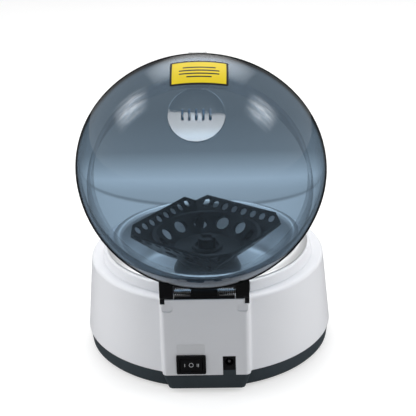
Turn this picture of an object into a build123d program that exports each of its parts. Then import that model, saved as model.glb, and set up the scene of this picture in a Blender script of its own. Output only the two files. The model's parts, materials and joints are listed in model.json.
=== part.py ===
from build123d import *
import os
from math import cos, hypot, pi, radians, sin, sqrt

# A mini centrifuge with its lid open. Millimetres, front toward -Y, hinge and rear panel toward +Y, up +Z,
# with the table at Z 0 and the spindle on the Z axis.

# Base and feet
foot_height = 2.2
foot_radius = 8.0
foot_inset = 22.0
foot_count = 4
foot_start_angle = 45
base_height = 12.2
base_draft = 1.6
seam_step = 0.4
base_floor = 2.5
base_wall = 3.2
base_lip_height = 3.0
base_lip_wall = 1.6
base_edge = 1.2
flat_taper = 4.0
flat_lean = 0.6
foot_recess = 0.8

# Housing
housing_bottom_radius = 92.0
housing_draft = 5.0
housing_wall = 2.6
ledge_height = 70.0
ledge_edge_radius = 2.0
ledge_margin = 2.0
collar_inset = 6.4
collar_draft = 1.4
collar_rise = 7.5
collar_edge_radius = 1.5
collar_shelf = 8.2
hinge_recess_depth = 2.3
hinge_recess_half_width = 31.7
panel_proud = 0.4
panel_depth = 27.4
panel_half_width = 31.5
panel_corner_radius = 3.6
panel_blend = 2.5
panel_rise = 4.6

# Chamber bowl
bowl_sheet = 1.2
bowl_flange_inset = 2.3
bowl_flange_rise = 1.25
bowl_crown_cover = 0.8
bowl_crown_rise = 3.2
bowl_crown_bend = 2.4
bowl_mouth_inset = 2.0
bowl_mouth_rise = 1.0
bowl_taper = 7.0
bowl_floor_height = 44.0
bowl_corner_radius = 10.0
bowl_hole_radius = 9.0

# Lid and hinge
hinge_setback = 2.35
hinge_rise = 3.85
open_angle = 92.0
lid_rise = 71.4
lid_wall = 3.0
lid_seat_gap = 0.3
skirt_inset = 12.0
skirt_wall = 2.2
skirt_start = 11.5
press_angle = 44.6
press_radius = 18.4
press_recess = 1.0
press_depth = 1.6
press_rib_count = 5
press_rib_pitch = 4.4
press_rib_width = 1.8
press_rib_length = 8.0
press_rib_height = 0.4
label_angle = 66.2
label_width = 37.0
label_length = 22.0
label_thickness = 0.25
label_corner = 1.0
label_sag = 5.5
arm_inner = 21.8
arm_outer = 31.3
arm_radius = 5.0
arm_reach = 10.6
arm_top = 4.0
arm_bottom = 5.5
arm_tail = 8.2
arm_tail_width = 3.2
arm_tail_thickness = 5.6
knuckle_half_width = 9.3
knuckle_radius = 3.7
hinge_shaft_radius = 1.5
hinge_base_height = 0.7
hinge_lip_height = 2.0
hinge_lip_depth = 1.2
hinge_base_before = 1.35
hinge_base_behind = 4.25
hinge_screw_x = 5.0
hinge_screw_behind = 1.25
hinge_cover_thickness = 0.9
scallop_x = 26.5
scallop_drop = 2.4
scallop_width = 7.8
scallop_height = 5.2
scallop_corner = 2.2
scallop_depth = 0.9
hinge_screw_length = 8.4
spring_wire = 0.7
spring_turns = 8
spring_radius = 2.15
spring_leg = 2.8
spring_end_gap = 0.5

# Rotor
rotor_floor_radius = 26.0
rotor_rise = 20.2
rotor_plate = 2.0
rotor_half_width = 46.6
rotor_corner_top = 56.3
rotor_corner_slope = 0.5
rotor_cone_rise = 13.2
rotor_floor_height = 70.0
rotor_floor = 3.0
bell_depth = 23.8
strip_hole_count = 8
strip_hole_pitch = 9.0
strip_hole_radius = 3.1
strip_hole_reach = 42.3
tube_hole_count = 12
tube_hole_radius = 5.4
tube_hole_reach = 33.0
rotor_turn = 35.2
rotor_sides = 4
bell_waist_radius = 22.6
bell_flare = 4.4
bell_waist_depth = 9.0
bell_flare_depth = 19.0
bell_wall = 2.4
bell_edge = 0.8
boss_radius = 12.0
boss_height = 2.6
boss_edge = 0.6
collet_ring_radius = 9.4
collet_radius = 7.0
collet_height = 9.5
collet_slot = 3.0
hub_radius = 9.0
hub_depth = 10.0

# Drive
motor_radius = 18.0
motor_bottom = 8.0
motor_length = 28.5
motor_shell = 1.4
motor_floor_ring = 1.5
motor_screw_reach = 12.0
motor_screw_angles = (0, 180)
motor_boss_radius = 6.0
motor_boss_height = 3.0
motor_shaft_radius = 1.6
motor_shaft_grip = 8.0
bearing_radius = 4.5
bearing_width = 3.0
armature_radius = 12.0
armature_length = 16.0
adaptor_radius = 4.0
adaptor_flange_radius = 7.0
adaptor_flange = 2.5
adaptor_edge = 1.0
adaptor_clearance = 3.5
adaptor_stem = 18.0
running_gap = 0.05
plate_thickness = 2.0
plate_margin = 7.0
bushing_circle = 39.0
bushing_angles = (90, 210, 330)
bushing_radius = 6.0
bushing_neck_radius = 4.0
bushing_flange = 2.2
post_radius = 5.0
post_bore_depth = 12.0
plate_screw_bite = 9.0
seal_radius = 12.5
seal_thickness = 1.4
seal_hole_radius = 3.0

# Rear panel fittings
rocker_x = 10.75
rocker_rise = 9.0
rocker_width = 21.0
rocker_height = 15.0
rocker_flange = 1.6
rocker_body_width = 18.4
rocker_body_height = 12.6
rocker_body_depth = 12.5
rocker_wall = 1.1
rocker_pivot_proud = 0.2
rocker_barrel_radius = 7.8
rocker_face = 2.0
rocker_rear = 6.0
rocker_dish = 0.8
rocker_button_height = 9.8
rocker_cavity_depth = 10.0
rocker_pin_radius = 1.0
rocker_pin_length = 12.0
terminal_count = 3
terminal_pitch = 5.6
terminal_width = 4.0
terminal_thickness = 0.8
terminal_length = 7.0
jack_x = -16.3
jack_width = 9.0
jack_height = 11.0
jack_rise = 4.0
jack_depth = 14.0
jack_hole_rise = 6.5
jack_hole_radius = 3.1
jack_hole_depth = 9.5
jack_pin_radius = 1.0
jack_pin_setback = 1.0
jack_lug_length = 4.0
jack_lug_pitch = 3.0
jack_lug_count = 3
plate_sticker_rise = 12.2
plate_sticker_width = 20.0
plate_sticker_height = 7.6
plate_sticker_thickness = 0.2

# Latch at the front
latch_drop = 8.0
latch_travel = 2.4
button_width = 20.0
button_height = 8.0
button_proud = 2.4
button_corner = 1.8
button_edge = 0.8
tab_half_width = 6.0
tab_inset = 4.6
tab_thickness = 2.0
tab_root = 2.0
slot_front_room = 3.0
slot_back_room = 1.6
slot_half_width = 7.0
tab_window_half = 3.6
tab_window_height = 5.0
tab_end = 1.5
striker_half_width = 9.0
striker_rise = 13.7
striker_step_rise = 10.2
striker_before = 2.1
striker_behind = 1.4
striker_reach = 6.8
latch_rail_height = 6.0
latch_rail = 2.4
latch_tongue_before = 0.8
latch_tongue_half = 2.8
latch_tongue_height = 2.6
latch_back_behind = 5.0
latch_back_depth = 2.6
latch_floor = 1.8
latch_side = 1.6
latch_front_before = 2.6
latch_rail_behind = 7.4
latch_end_behind = 12.0
latch_end_thickness = 1.6
latch_ear = 6.0
latch_ear_before = 1.6
latch_ear_behind = 4.4
latch_ear_thickness = 2.0
latch_spring_radius = 1.8
latch_spring_wire = 0.5
latch_spring_turns = 4
latch_spring_bore = 2.4
latch_spring_bore_depth = 2.0
sensor_length = 3.8
sensor_depth = 3.0
sensor_thickness = 1.4
sensor_behind = 0.6
magnet_x = 7.4
magnet_behind = 0.45
magnet_radius = 0.75
magnet_length = 2.0
magnet_cover = 0.4

# Board and fasteners
board_width = 62.0
board_depth = 22.0
board_inset = 28.4
board_standoff = 4.5
board_thickness = 1.6
board_screw_x = 27.0
board_screw_y = 7.0
screw_radius = 1.5
screw_head_radius = 2.8
screw_head = 1.8
screw_bite = 3.0
base_screw_inset = 8.4
base_boss_radius = 4.6
boss_length = 16.0
base_screw_angles = (25, 155, 205, 335)
capacitor_radius = 4.0
capacitor_height = 10.0
capacitor_x = 20.0
chip_width = 8.0
chip_height = 1.6
connector_length = 11.0
connector_width = 5.0
connector_height = 7.0
connector_x = 8.0
fit_gap = 0.3
slack = 0.2

# Worked-out heights
base_bottom = foot_height
seam = base_bottom + base_height
collar_top = ledge_height + collar_rise
panel_height = ledge_height + panel_rise
rim_height = ledge_height + lid_seat_gap
inside_top = ledge_height - housing_wall
hinge_z = panel_height + hinge_rise
hinge_base_top = panel_height + hinge_base_height
scallop_z = ledge_height - scallop_drop
bowl_underside = bowl_floor_height - bowl_sheet
motor_top = motor_bottom + motor_length
plate_top = motor_top + plate_thickness
post_top = motor_top - bushing_flange
boss_top = seam + boss_length
board_z = base_bottom + base_floor + board_standoff
latch_z = ledge_height - latch_drop
jack_bottom = seam + jack_rise
jack_top = jack_bottom + jack_height
jack_hole_z = jack_bottom + jack_hole_rise
rocker_z = seam + rocker_rise
plate_sticker_z = rocker_z + plate_sticker_rise
striker_top = rim_height + striker_rise
striker_step = rim_height + striker_step_rise

# Worked-out heights of the rotor and what carries it
rotor_slope_start = rotor_floor_height - rotor_floor_radius
rotor_top = rotor_floor_height + rotor_rise
rotor_cone_top = rotor_floor_height + rotor_cone_rise
rotor_bottom = rotor_floor_height - bell_depth
bell_waist_height = rotor_floor_height - bell_waist_depth
bell_flare_height = rotor_floor_height - bell_flare_depth
bell_bottom_radius = bell_waist_radius + bell_flare
hub_bottom = rotor_floor_height - hub_depth
motor_shaft_top = hub_bottom + motor_shaft_grip
adaptor_top = hub_bottom + adaptor_stem
adaptor_bottom = bowl_floor_height + adaptor_clearance
plate_radius = bushing_circle + plate_margin

# Worked-out distances from the spindle, each from the one outside it
base_top_radius = housing_bottom_radius - seam_step
base_bottom_radius = base_top_radius - base_draft
foot_circle = base_bottom_radius - foot_inset
base_screw_circle = housing_bottom_radius - base_screw_inset
lip_radius = housing_bottom_radius - housing_wall - fit_gap
housing_top_radius = housing_bottom_radius - housing_draft
housing_lean = housing_draft / (ledge_height - seam)
lid_radius = housing_top_radius - ledge_margin
skirt_radius = lid_radius - skirt_inset
collar_bottom_radius = lid_radius - collar_inset
collar_top_radius = collar_bottom_radius - collar_draft
collar_opening_radius = collar_top_radius - collar_shelf
hinge_recess_radius = collar_bottom_radius - hinge_recess_depth
bowl_flange_radius = collar_top_radius - bowl_flange_inset
bowl_crown_radius = collar_opening_radius + bowl_crown_cover
bowl_mouth_radius = collar_opening_radius - bowl_mouth_inset
bowl_floor_radius = bowl_mouth_radius - bowl_taper

# Worked-out places at the rear
panel_place = housing_bottom_radius + panel_proud
panel_root = panel_place - panel_depth
board_y = panel_place - board_inset
hinge_y = lid_radius + hinge_setback
hinge_base_front = hinge_y - hinge_base_before
hinge_base_back = hinge_y + hinge_base_behind
hinge_screw_y = hinge_y + hinge_screw_behind

# Worked-out places at the front, each from the middle of the lid's tab
tab_place = lid_radius - tab_inset
slot_front = tab_place + slot_front_room
slot_back = tab_place - slot_back_room
striker_front = tab_place + striker_before
striker_back = tab_place - striker_behind
striker_foot = tab_place - striker_reach
latch_tongue_end = tab_place + latch_tongue_before
latch_back = tab_place - latch_back_behind
latch_front = tab_place + latch_front_before
latch_rail_back = tab_place - latch_rail_behind
latch_end_wall = tab_place - latch_end_behind
latch_ear_front = tab_place + latch_ear_before
latch_ear_back = tab_place - latch_ear_behind
sensor_y = tab_place - sensor_behind
magnet_y = tab_place - magnet_behind

# The lid's sphere
lid_sphere = (lid_radius ** 2 + lid_rise ** 2) / (2 * lid_rise)
lid_centre = rim_height + lid_rise - lid_sphere
lid_inner_sphere = lid_sphere - lid_wall
label_sphere = lid_sphere + label_thickness
lid_axis_top = rim_height + lid_rise


def housing_radius(z, wall=0.0):
    """Outer radius of the housing's leaning wall at a height, less a wall."""
    return housing_bottom_radius - housing_lean * (z - seam) - wall


def opened(plane):
    """A plane given for the closed lid, moved with the lid to where it stands open."""
    turn = Pos(0, hinge_y, hinge_z) * Rot(X=-open_angle) * Pos(0, -hinge_y, -hinge_z)
    return Plane(turn * plane.location)


def lid_direction_plane(angle, distance):
    """The closed lid's plane at a distance from the dome's centre, facing out at an angle to the front."""
    out = Vector(0, -sin(radians(angle)), cos(radians(angle)))
    return Plane(origin=Vector(0, 0, lid_centre) + out * distance, x_dir=(1, 0, 0), z_dir=out)


def add_biarc(start, start_way, end, end_way):
    """Two tangent arcs from one place and direction to another, added to the line being built."""
    span = end - start
    both = start_way + end_way
    spread = 2 * (1 - start_way.dot(end_way))
    along = span.dot(both)
    reach = (sqrt(along ** 2 + spread * span.dot(span)) - along) / spread
    middle = ((start + start_way * reach) + (end - end_way * reach)) / 2
    first = TangentArc(start, middle, tangent=start_way)
    TangentArc(middle, end, tangent=first % 1)


def coil_point(centre, radius, pitch, turn, axis, side, up):
    """Place and direction on a coil after some turns."""
    angle = 2 * pi * turn
    place = centre + axis * (pitch * turn) + side * (radius * cos(angle)) + up * (radius * sin(angle))
    way = axis * (pitch / (2 * pi)) + side * (-radius * sin(angle)) + up * (radius * cos(angle))
    return place, way.normalized()


def add_coil(centre, radius, pitch, turns, axis, side, up):
    """A coil of half-turn biarcs, added to the line being built."""
    for half in range(2 * turns):
        start, start_way = coil_point(centre, radius, pitch, half / 2, axis, side, up)
        end, end_way = coil_point(centre, radius, pitch, (half + 1) / 2, axis, side, up)
        add_biarc(start, start_way, end, end_way)


def print_coil_gap(name, radius, pitch, turns, wire):
    """Prints the least gap of a coil to its own next turn, measured on points."""
    steps = 48
    points = []
    for step in range(steps * turns + 1):
        angle = 2 * pi * step / steps
        points.append((radius * cos(angle), radius * sin(angle), pitch * step / steps))
    gaps = []
    for i, a in enumerate(points):
        for b in points[i + steps // 2:]:
            gaps.append(hypot(a[0] - b[0], a[1] - b[1], a[2] - b[2]) - wire)
    print(name, "least gap to itself", round(min(gaps), 2), "mm")


def disc(plane, radius):
    """A round sketch on a plane."""
    with BuildSketch(plane) as plan:
        Circle(radius)
    return plan.sketch


def screw(plane, length):
    """Adds a pan-head screw to the part being built, its head's underside on the plane, shank going down."""
    extrude(disc(plane, screw_head_radius), amount=screw_head)
    extrude(disc(plane, screw_radius), amount=-length)


def ring_places(radius, angles):
    """Places on a circle round the spindle."""
    return [(radius * cos(radians(a)), radius * sin(radians(a))) for a in angles]


os.makedirs("parts", exist_ok=True)
base_screw_places = ring_places(base_screw_circle, base_screw_angles)
latch_half = button_width / 2 + fit_gap
latch_ear_x = latch_half + latch_side + latch_ear / 2
latch_ear_y = -(latch_ear_front + latch_ear_back) / 2
latch_screw_places = [(-latch_ear_x, latch_ear_y), (latch_ear_x, latch_ear_y)]
bushing_places = ring_places(bushing_circle, bushing_angles)
motor_screw_places = ring_places(motor_screw_reach, motor_screw_angles)
board_screw_places = [(x, board_y + y) for x in (-board_screw_x, board_screw_x)
                      for y in (-board_screw_y, board_screw_y)]


def panel_plan(plane, half_width, place, corner):
    """The plan of a block that ends in the flat rear panel."""
    with BuildSketch(plane) as plan:
        with Locations((0, (panel_root + place) / 2)):
            Rectangle(2 * half_width, place - panel_root)
        fillet(plan.vertices().group_by(Axis.Y)[-1], corner)
    return plan.sketch


def blend_edges(edges, low, high):
    """The two edges where the round wall meets the sides of the rear panel's block."""
    found = []
    for edge in edges:
        middle = edge.center()
        beside = panel_half_width - flat_taper - fit_gap < abs(middle.X) < panel_half_width + fit_gap
        standing = low < middle.Z < high and edge.length > (high - low) / 2
        if beside and standing and middle.Y < panel_place - panel_corner_radius - fit_gap:
            found.append(edge)
    return found


# Upper housing: a leaning round shell with ledge, collar and flat rear panel
with BuildPart() as housing_inside:
    with BuildSketch(Plane.XZ) as inside_profile:
        with BuildLine():
            Polyline(
                (0, seam),
                (housing_radius(seam, housing_wall), seam),
                (housing_radius(inside_top, housing_wall), inside_top),
                (collar_bottom_radius - housing_wall, inside_top),
                (collar_top_radius - housing_wall, collar_top - housing_wall),
                (0, collar_top - housing_wall),
                close=True,
            )
        make_face()
    revolve(axis=Axis.Z)
    inside_plan = panel_plan(Plane.XY.offset(seam), panel_half_width - housing_wall,
                             panel_place - housing_wall, panel_corner_radius - housing_wall)
    extrude(inside_plan, amount=inside_top - seam)

with BuildPart() as upper_housing:
    with BuildSketch(Plane.XZ) as outer_profile:
        with BuildLine():
            Polyline(
                (0, seam),
                (housing_radius(seam), seam),
                (housing_top_radius, ledge_height),
                (collar_bottom_radius, ledge_height),
                (collar_top_radius, collar_top),
                (0, collar_top),
                close=True,
            )
        make_face()
        ledge_corner = outer_profile.vertices().sort_by_distance((housing_top_radius, ledge_height))[0]
        fillet(ledge_corner, ledge_edge_radius)
        collar_corner = outer_profile.vertices().sort_by_distance((collar_top_radius, collar_top))[0]
        fillet(collar_corner, collar_edge_radius)
    revolve(axis=Axis.Z)
    outer_plan = panel_plan(Plane.XY.offset(seam), panel_half_width, panel_place, panel_corner_radius)
    extrude(outer_plan, amount=panel_height - seam)
    fillet(blend_edges(upper_housing.edges(), seam, ledge_height), panel_blend)
    # the lid's rim and the collar stay free of the panel block
    with BuildSketch(Plane.XY.offset(ledge_height)):
        Circle(lid_radius + 2 * fit_gap)
        Circle(collar_bottom_radius, mode=Mode.SUBTRACT)
    extrude(amount=collar_rise, mode=Mode.SUBTRACT)
    with BuildSketch(Plane.XY.offset(collar_top)):
        Circle(lid_radius + 2 * fit_gap)
    extrude(amount=collar_rise, mode=Mode.SUBTRACT)
    add(housing_inside.part, mode=Mode.SUBTRACT)
    with BuildSketch(Plane.XY.offset(collar_top)):
        Circle(collar_opening_radius)
    extrude(amount=-2 * housing_wall, mode=Mode.SUBTRACT)
    # shallow recess in the collar for the dark cover behind the hinge
    with BuildSketch(Plane.XY.offset(ledge_height)):
        Circle(lid_radius + 2 * fit_gap)
        Circle(hinge_recess_radius, mode=Mode.SUBTRACT)
        with Locations((0, collar_bottom_radius)):
            Rectangle(2 * hinge_recess_half_width, collar_bottom_radius, mode=Mode.INTERSECT)
    extrude(amount=2 * collar_rise, mode=Mode.SUBTRACT)
    # holes of the two screws that hold the hinge block from below
    with BuildSketch(Plane.XY.offset(inside_top)):
        with Locations((-hinge_screw_x, hinge_screw_y), (hinge_screw_x, hinge_screw_y)):
            Circle(screw_radius)
    extrude(amount=panel_height - inside_top, mode=Mode.SUBTRACT)
    with BuildSketch(Plane.XY.offset(inside_top)):
        with Locations((-hinge_screw_x, hinge_screw_y), (hinge_screw_x, hinge_screw_y)):
            Circle(screw_head_radius + slack)
    extrude(amount=-screw_head - slack, mode=Mode.SUBTRACT)
    # shallow round-ended hollows in the panel's face below the hinge arms
    with BuildSketch(Plane.XZ.offset(-panel_place)):
        with Locations((-scallop_x, scallop_z), (scallop_x, scallop_z)):
            RectangleRounded(scallop_width, scallop_height, scallop_corner)
    extrude(amount=scallop_depth, mode=Mode.SUBTRACT)
    # pockets where the tails and the round ends of the hinge arms turn
    for side in (-1, 1):
        with BuildSketch(Plane.YZ.offset(side * (arm_inner + arm_outer) / 2)):
            with Locations((hinge_y, hinge_z)):
                Circle(arm_radius + 2 * fit_gap)
            with Locations((hinge_y - arm_reach / 2, hinge_z - arm_bottom / 2 - fit_gap)):
                Rectangle(arm_reach, arm_bottom + 2 * fit_gap)
        extrude(amount=(arm_outer - arm_inner) / 2 + fit_gap, both=True, mode=Mode.SUBTRACT)
        tail_middle = side * (arm_outer - arm_tail_width / 2)
        with BuildSketch(Plane.YZ.offset(tail_middle)):
            with Locations((hinge_y, hinge_z)):
                Circle(hypot(arm_tail, arm_tail_thickness / 2) + fit_gap)
        extrude(amount=arm_tail_width / 2 + fit_gap, both=True, mode=Mode.SUBTRACT)
    # holes of the rocker, the inlet, the push button and the lid's tab
    with BuildSketch(Plane.XZ.offset(-panel_place)):
        with Locations((rocker_x, rocker_z)):
            Rectangle(rocker_body_width + slack, rocker_body_height + slack)
        with Locations((jack_x, (jack_top + seam) / 2)):
            Rectangle(jack_width + slack, jack_top - seam + slack)
    extrude(amount=3 * housing_wall, mode=Mode.SUBTRACT)
    with BuildSketch(Plane.XZ.offset(housing_radius(latch_z) + housing_wall)):
        with Locations((0, latch_z)):
            RectangleRounded(button_width + 2 * slack, button_height + 2 * slack, button_corner + slack)
    extrude(amount=-4 * housing_wall, mode=Mode.SUBTRACT)
    with BuildSketch(Plane.XY.offset(ledge_height)):
        with Locations((0, -(slot_front + slot_back) / 2)):
            Rectangle(2 * slot_half_width, slot_front - slot_back)
    extrude(amount=-2 * housing_wall, mode=Mode.SUBTRACT)
    with BuildSketch(Plane.XY.offset(inside_top)):
        with Locations(*latch_screw_places):
            Circle(screw_radius)
    extrude(amount=housing_wall - 2 * fit_gap, mode=Mode.SUBTRACT)
    # bosses for the base screws, standing against the wall
    with BuildSketch(Plane.XY.offset(seam)):
        with Locations(*base_screw_places):
            Circle(base_boss_radius)
    extrude(amount=boss_length)
    with BuildSketch(Plane.XY.offset(seam)):
        with Locations(*base_screw_places):
            Circle(screw_radius)
    extrude(amount=boss_length - housing_wall, mode=Mode.SUBTRACT)
upper_housing.part.label = "upper_housing"
export_step(upper_housing.part, "parts/upper_housing.step")

# Base tray with its rear flat, posts and the lip that centres the housing
with BuildPart() as base_tray:
    with BuildSketch(Plane.XZ):
        with BuildLine():
            Polyline(
                (0, base_bottom),
                (base_bottom_radius - base_edge, base_bottom),
                (base_bottom_radius, base_bottom + base_edge),
                (base_top_radius, seam),
                (0, seam),
                close=True,
            )
        make_face()
    revolve(axis=Axis.Z)
    foot_plan = panel_plan(Plane.XY.offset(base_bottom + base_edge), panel_half_width - flat_taper,
                           panel_place - flat_lean, panel_corner_radius)
    seam_plan = panel_plan(Plane.XY.offset(seam), panel_half_width, panel_place, panel_corner_radius)
    loft([foot_plan.face(), seam_plan.face()])
    fillet(blend_edges(base_tray.edges(), base_bottom + base_edge, seam), panel_blend)
    extrude(disc(Plane.XY.offset(base_bottom + base_floor), base_top_radius - base_wall), amount=base_height,
            mode=Mode.SUBTRACT)
    lip_plane = Plane.XY.offset(seam - base_lip_height)
    with BuildSketch(lip_plane):
        Circle(lip_radius)
        Circle(lip_radius - base_lip_wall, mode=Mode.SUBTRACT)
        with Locations((0, lip_radius)):
            Rectangle(2 * panel_half_width, lip_radius, mode=Mode.SUBTRACT)
        with Locations(*base_screw_places):
            Circle(base_boss_radius + fit_gap, mode=Mode.SUBTRACT)
    extrude(amount=2 * base_lip_height)
    with BuildSketch(Plane.XY.offset(base_bottom + base_floor)):
        with Locations(*base_screw_places):
            Circle(base_boss_radius)
    extrude(amount=base_height - base_floor)
    with BuildSketch(Plane.XY.offset(base_bottom + base_floor)):
        with Locations(*bushing_places):
            Circle(post_radius)
    extrude(amount=post_top - base_bottom - base_floor)
    with BuildSketch(Plane.XY.offset(base_bottom + base_floor)):
        with Locations(*board_screw_places):
            Circle(2 * screw_radius)
    extrude(amount=board_z - base_bottom - base_floor)
    # upright tongue that closes the housing's notch under the inlet
    with BuildSketch(Plane.XY.offset(seam)):
        with Locations((jack_x, panel_place - housing_wall / 2)):
            Rectangle(jack_width, housing_wall)
    extrude(amount=jack_bottom - seam)
    with BuildSketch(Plane.XY.offset(post_top)):
        with Locations(*bushing_places):
            Circle(screw_radius)
    extrude(amount=-post_bore_depth, mode=Mode.SUBTRACT)
    with BuildSketch(Plane.XY.offset(board_z)):
        with Locations(*board_screw_places):
            Circle(screw_radius)
    extrude(amount=-screw_bite, mode=Mode.SUBTRACT)
    with BuildSketch(Plane.XY.offset(base_bottom)):
        with Locations(*base_screw_places):
            Circle(screw_radius)
    extrude(amount=base_height + base_lip_height, mode=Mode.SUBTRACT)
    with BuildSketch(Plane.XY.offset(base_bottom)):
        with Locations(*base_screw_places):
            Circle(screw_head_radius + slack)
    extrude(amount=screw_head + slack, mode=Mode.SUBTRACT)
    with BuildSketch(Plane.XY.offset(base_bottom)):
        with PolarLocations(foot_circle, foot_count, foot_start_angle):
            Circle(foot_radius)
    extrude(amount=foot_recess, mode=Mode.SUBTRACT)
base_tray.part.label = "base_tray"
export_step(base_tray.part, "parts/base_tray.step")

# Four rubber feet in the base's recesses
with BuildPart() as feet:
    with BuildSketch(Plane.XY):
        with PolarLocations(foot_circle, foot_count, foot_start_angle):
            Circle(foot_radius)
    extrude(amount=foot_height + foot_recess)
feet.part.label = "feet"
export_step(feet.part, "parts/feet.step")

# Four screws that come up through the base into the housing's bosses
with BuildPart() as base_screws:
    head_z = base_bottom + screw_head + slack
    for x, y in base_screw_places:
        screw(Plane(origin=(x, y, head_z), z_dir=(0, 0, -1)), boss_top - 2 * housing_wall - head_z)
base_screws.part.label = "base_screws"
export_step(base_screws.part, "parts/base_screws.step")

# Chamber bowl of spun sheet, with a rounded flange on the collar
with BuildPart() as chamber_bowl:
    with BuildSketch(Plane.XZ):
        with BuildLine() as bowl_line:
            FilletPolyline(
                (bowl_hole_radius, bowl_floor_height),
                (bowl_floor_radius, bowl_floor_height),
                (bowl_mouth_radius, collar_top + bowl_mouth_rise),
                (bowl_crown_radius, collar_top + bowl_crown_rise),
                (bowl_flange_radius, collar_top + bowl_flange_rise),
                radius=(bowl_corner_radius, bowl_crown_bend / 2, bowl_crown_bend),
            )
            offset(amount=bowl_sheet, side=Side.RIGHT)
        make_face()
    revolve(axis=Axis.Z)
chamber_bowl.part.label = "chamber_bowl"
export_step(chamber_bowl.part, "parts/chamber_bowl.step")

# Rubber seal in the hole of the bowl, round the motor shaft
with BuildPart() as shaft_seal:
    extrude(disc(Plane.XY.offset(bowl_floor_height), seal_radius), amount=seal_thickness)
    extrude(disc(Plane.XY.offset(bowl_underside), bowl_hole_radius), amount=bowl_sheet)
    seal_through = disc(Plane.XY.offset(bowl_underside), seal_hole_radius)
    extrude(seal_through, amount=bowl_sheet + seal_thickness, mode=Mode.SUBTRACT)
shaft_seal.part.label = "shaft_seal"
export_step(shaft_seal.part, "parts/shaft_seal.step")

# Motor can, with bearing pockets at both ends
with BuildPart() as motor_can:
    inner_bottom = motor_bottom + motor_shell
    with BuildSketch(Plane.XZ):
        with BuildLine():
            Polyline(
                (motor_shaft_radius + 2 * fit_gap, motor_bottom),
                (motor_radius, motor_bottom),
                (motor_radius, motor_top),
                (motor_boss_radius, motor_top),
                (motor_boss_radius, motor_top + motor_boss_height),
                (motor_shaft_radius + 2 * fit_gap, motor_top + motor_boss_height),
                (motor_shaft_radius + 2 * fit_gap, motor_top - motor_shell + bearing_width),
                (bearing_radius, motor_top - motor_shell + bearing_width),
                (bearing_radius, motor_top - motor_shell),
                (motor_radius - motor_shell, motor_top - motor_shell),
                (motor_radius - motor_shell, inner_bottom),
                (bearing_radius + motor_floor_ring, inner_bottom),
                (bearing_radius + motor_floor_ring, inner_bottom + bearing_width),
                (bearing_radius, inner_bottom + bearing_width),
                (bearing_radius, inner_bottom),
                (motor_shaft_radius + 2 * fit_gap, inner_bottom),
                close=True,
            )
        make_face()
    revolve(axis=Axis.Z)
    with BuildSketch(Plane.XY.offset(motor_top)):
        with Locations(*motor_screw_places):
            Circle(screw_radius)
    extrude(amount=-motor_shell, mode=Mode.SUBTRACT)
motor_can.part.label = "motor_can"
export_step(motor_can.part, "parts/motor_can.step")

# The motor's two bearings
with BuildPart() as motor_bearings:
    for z in (motor_bottom + motor_shell, motor_top - motor_shell):
        with BuildSketch(Plane.XY.offset(z)):
            Circle(bearing_radius)
            Circle(motor_shaft_radius + running_gap, mode=Mode.SUBTRACT)
        extrude(amount=bearing_width)
motor_bearings.part.label = "motor_bearings"
export_step(motor_bearings.part, "parts/motor_bearings.step")

# Motor shaft, and the armature wound on it
with BuildPart() as motor_shaft:
    shaft_bottom = motor_bottom + motor_shell
    extrude(disc(Plane.XY.offset(shaft_bottom), motor_shaft_radius), amount=motor_shaft_top - shaft_bottom)
motor_shaft.part.label = "motor_shaft"
export_step(motor_shaft.part, "parts/motor_shaft.step")

with BuildPart() as motor_armature:
    armature_middle = motor_bottom + motor_length / 2
    with BuildSketch(Plane.XY.offset(armature_middle - armature_length / 2)):
        Circle(armature_radius)
        Circle(motor_shaft_radius, mode=Mode.SUBTRACT)
    extrude(amount=armature_length)
motor_armature.part.label = "motor_armature"
export_step(motor_armature.part, "parts/motor_armature.step")

# Steel plate that carries the motor on three rubber bushings
with BuildPart() as motor_plate:
    with BuildSketch(Plane.XY.offset(motor_top)):
        Circle(plate_radius)
        Circle(motor_boss_radius + fit_gap, mode=Mode.SUBTRACT)
        with Locations(*bushing_places):
            Circle(bushing_neck_radius, mode=Mode.SUBTRACT)
        with Locations(*motor_screw_places):
            Circle(screw_radius, mode=Mode.SUBTRACT)
    extrude(amount=plate_thickness)
motor_plate.part.label = "motor_plate"
export_step(motor_plate.part, "parts/motor_plate.step")

with BuildPart() as motor_bushings:
    with BuildSketch(Plane.XY.offset(post_top)):
        with Locations(*bushing_places):
            Circle(bushing_radius)
    extrude(amount=bushing_flange)
    with BuildSketch(Plane.XY.offset(plate_top)):
        with Locations(*bushing_places):
            Circle(bushing_radius)
    extrude(amount=bushing_flange)
    with BuildSketch(Plane.XY.offset(motor_top)):
        with Locations(*bushing_places):
            Circle(bushing_neck_radius)
    extrude(amount=plate_thickness)
    with BuildSketch(Plane.XY.offset(post_top)):
        with Locations(*bushing_places):
            Circle(screw_radius)
    extrude(amount=2 * bushing_flange + plate_thickness, mode=Mode.SUBTRACT)
motor_bushings.part.label = "motor_bushings"
export_step(motor_bushings.part, "parts/motor_bushings.step")

with BuildPart() as plate_screws:
    for x, y in bushing_places:
        screw(Plane(origin=(x, y, plate_top + bushing_flange)),
              2 * bushing_flange + plate_thickness + plate_screw_bite)
plate_screws.part.label = "plate_screws"
export_step(plate_screws.part, "parts/plate_screws.step")

with BuildPart() as motor_screws:
    for x, y in motor_screw_places:
        screw(Plane(origin=(x, y, plate_top)), plate_thickness + motor_shell)
motor_screws.part.label = "motor_screws"
export_step(motor_screws.part, "parts/motor_screws.step")

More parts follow.
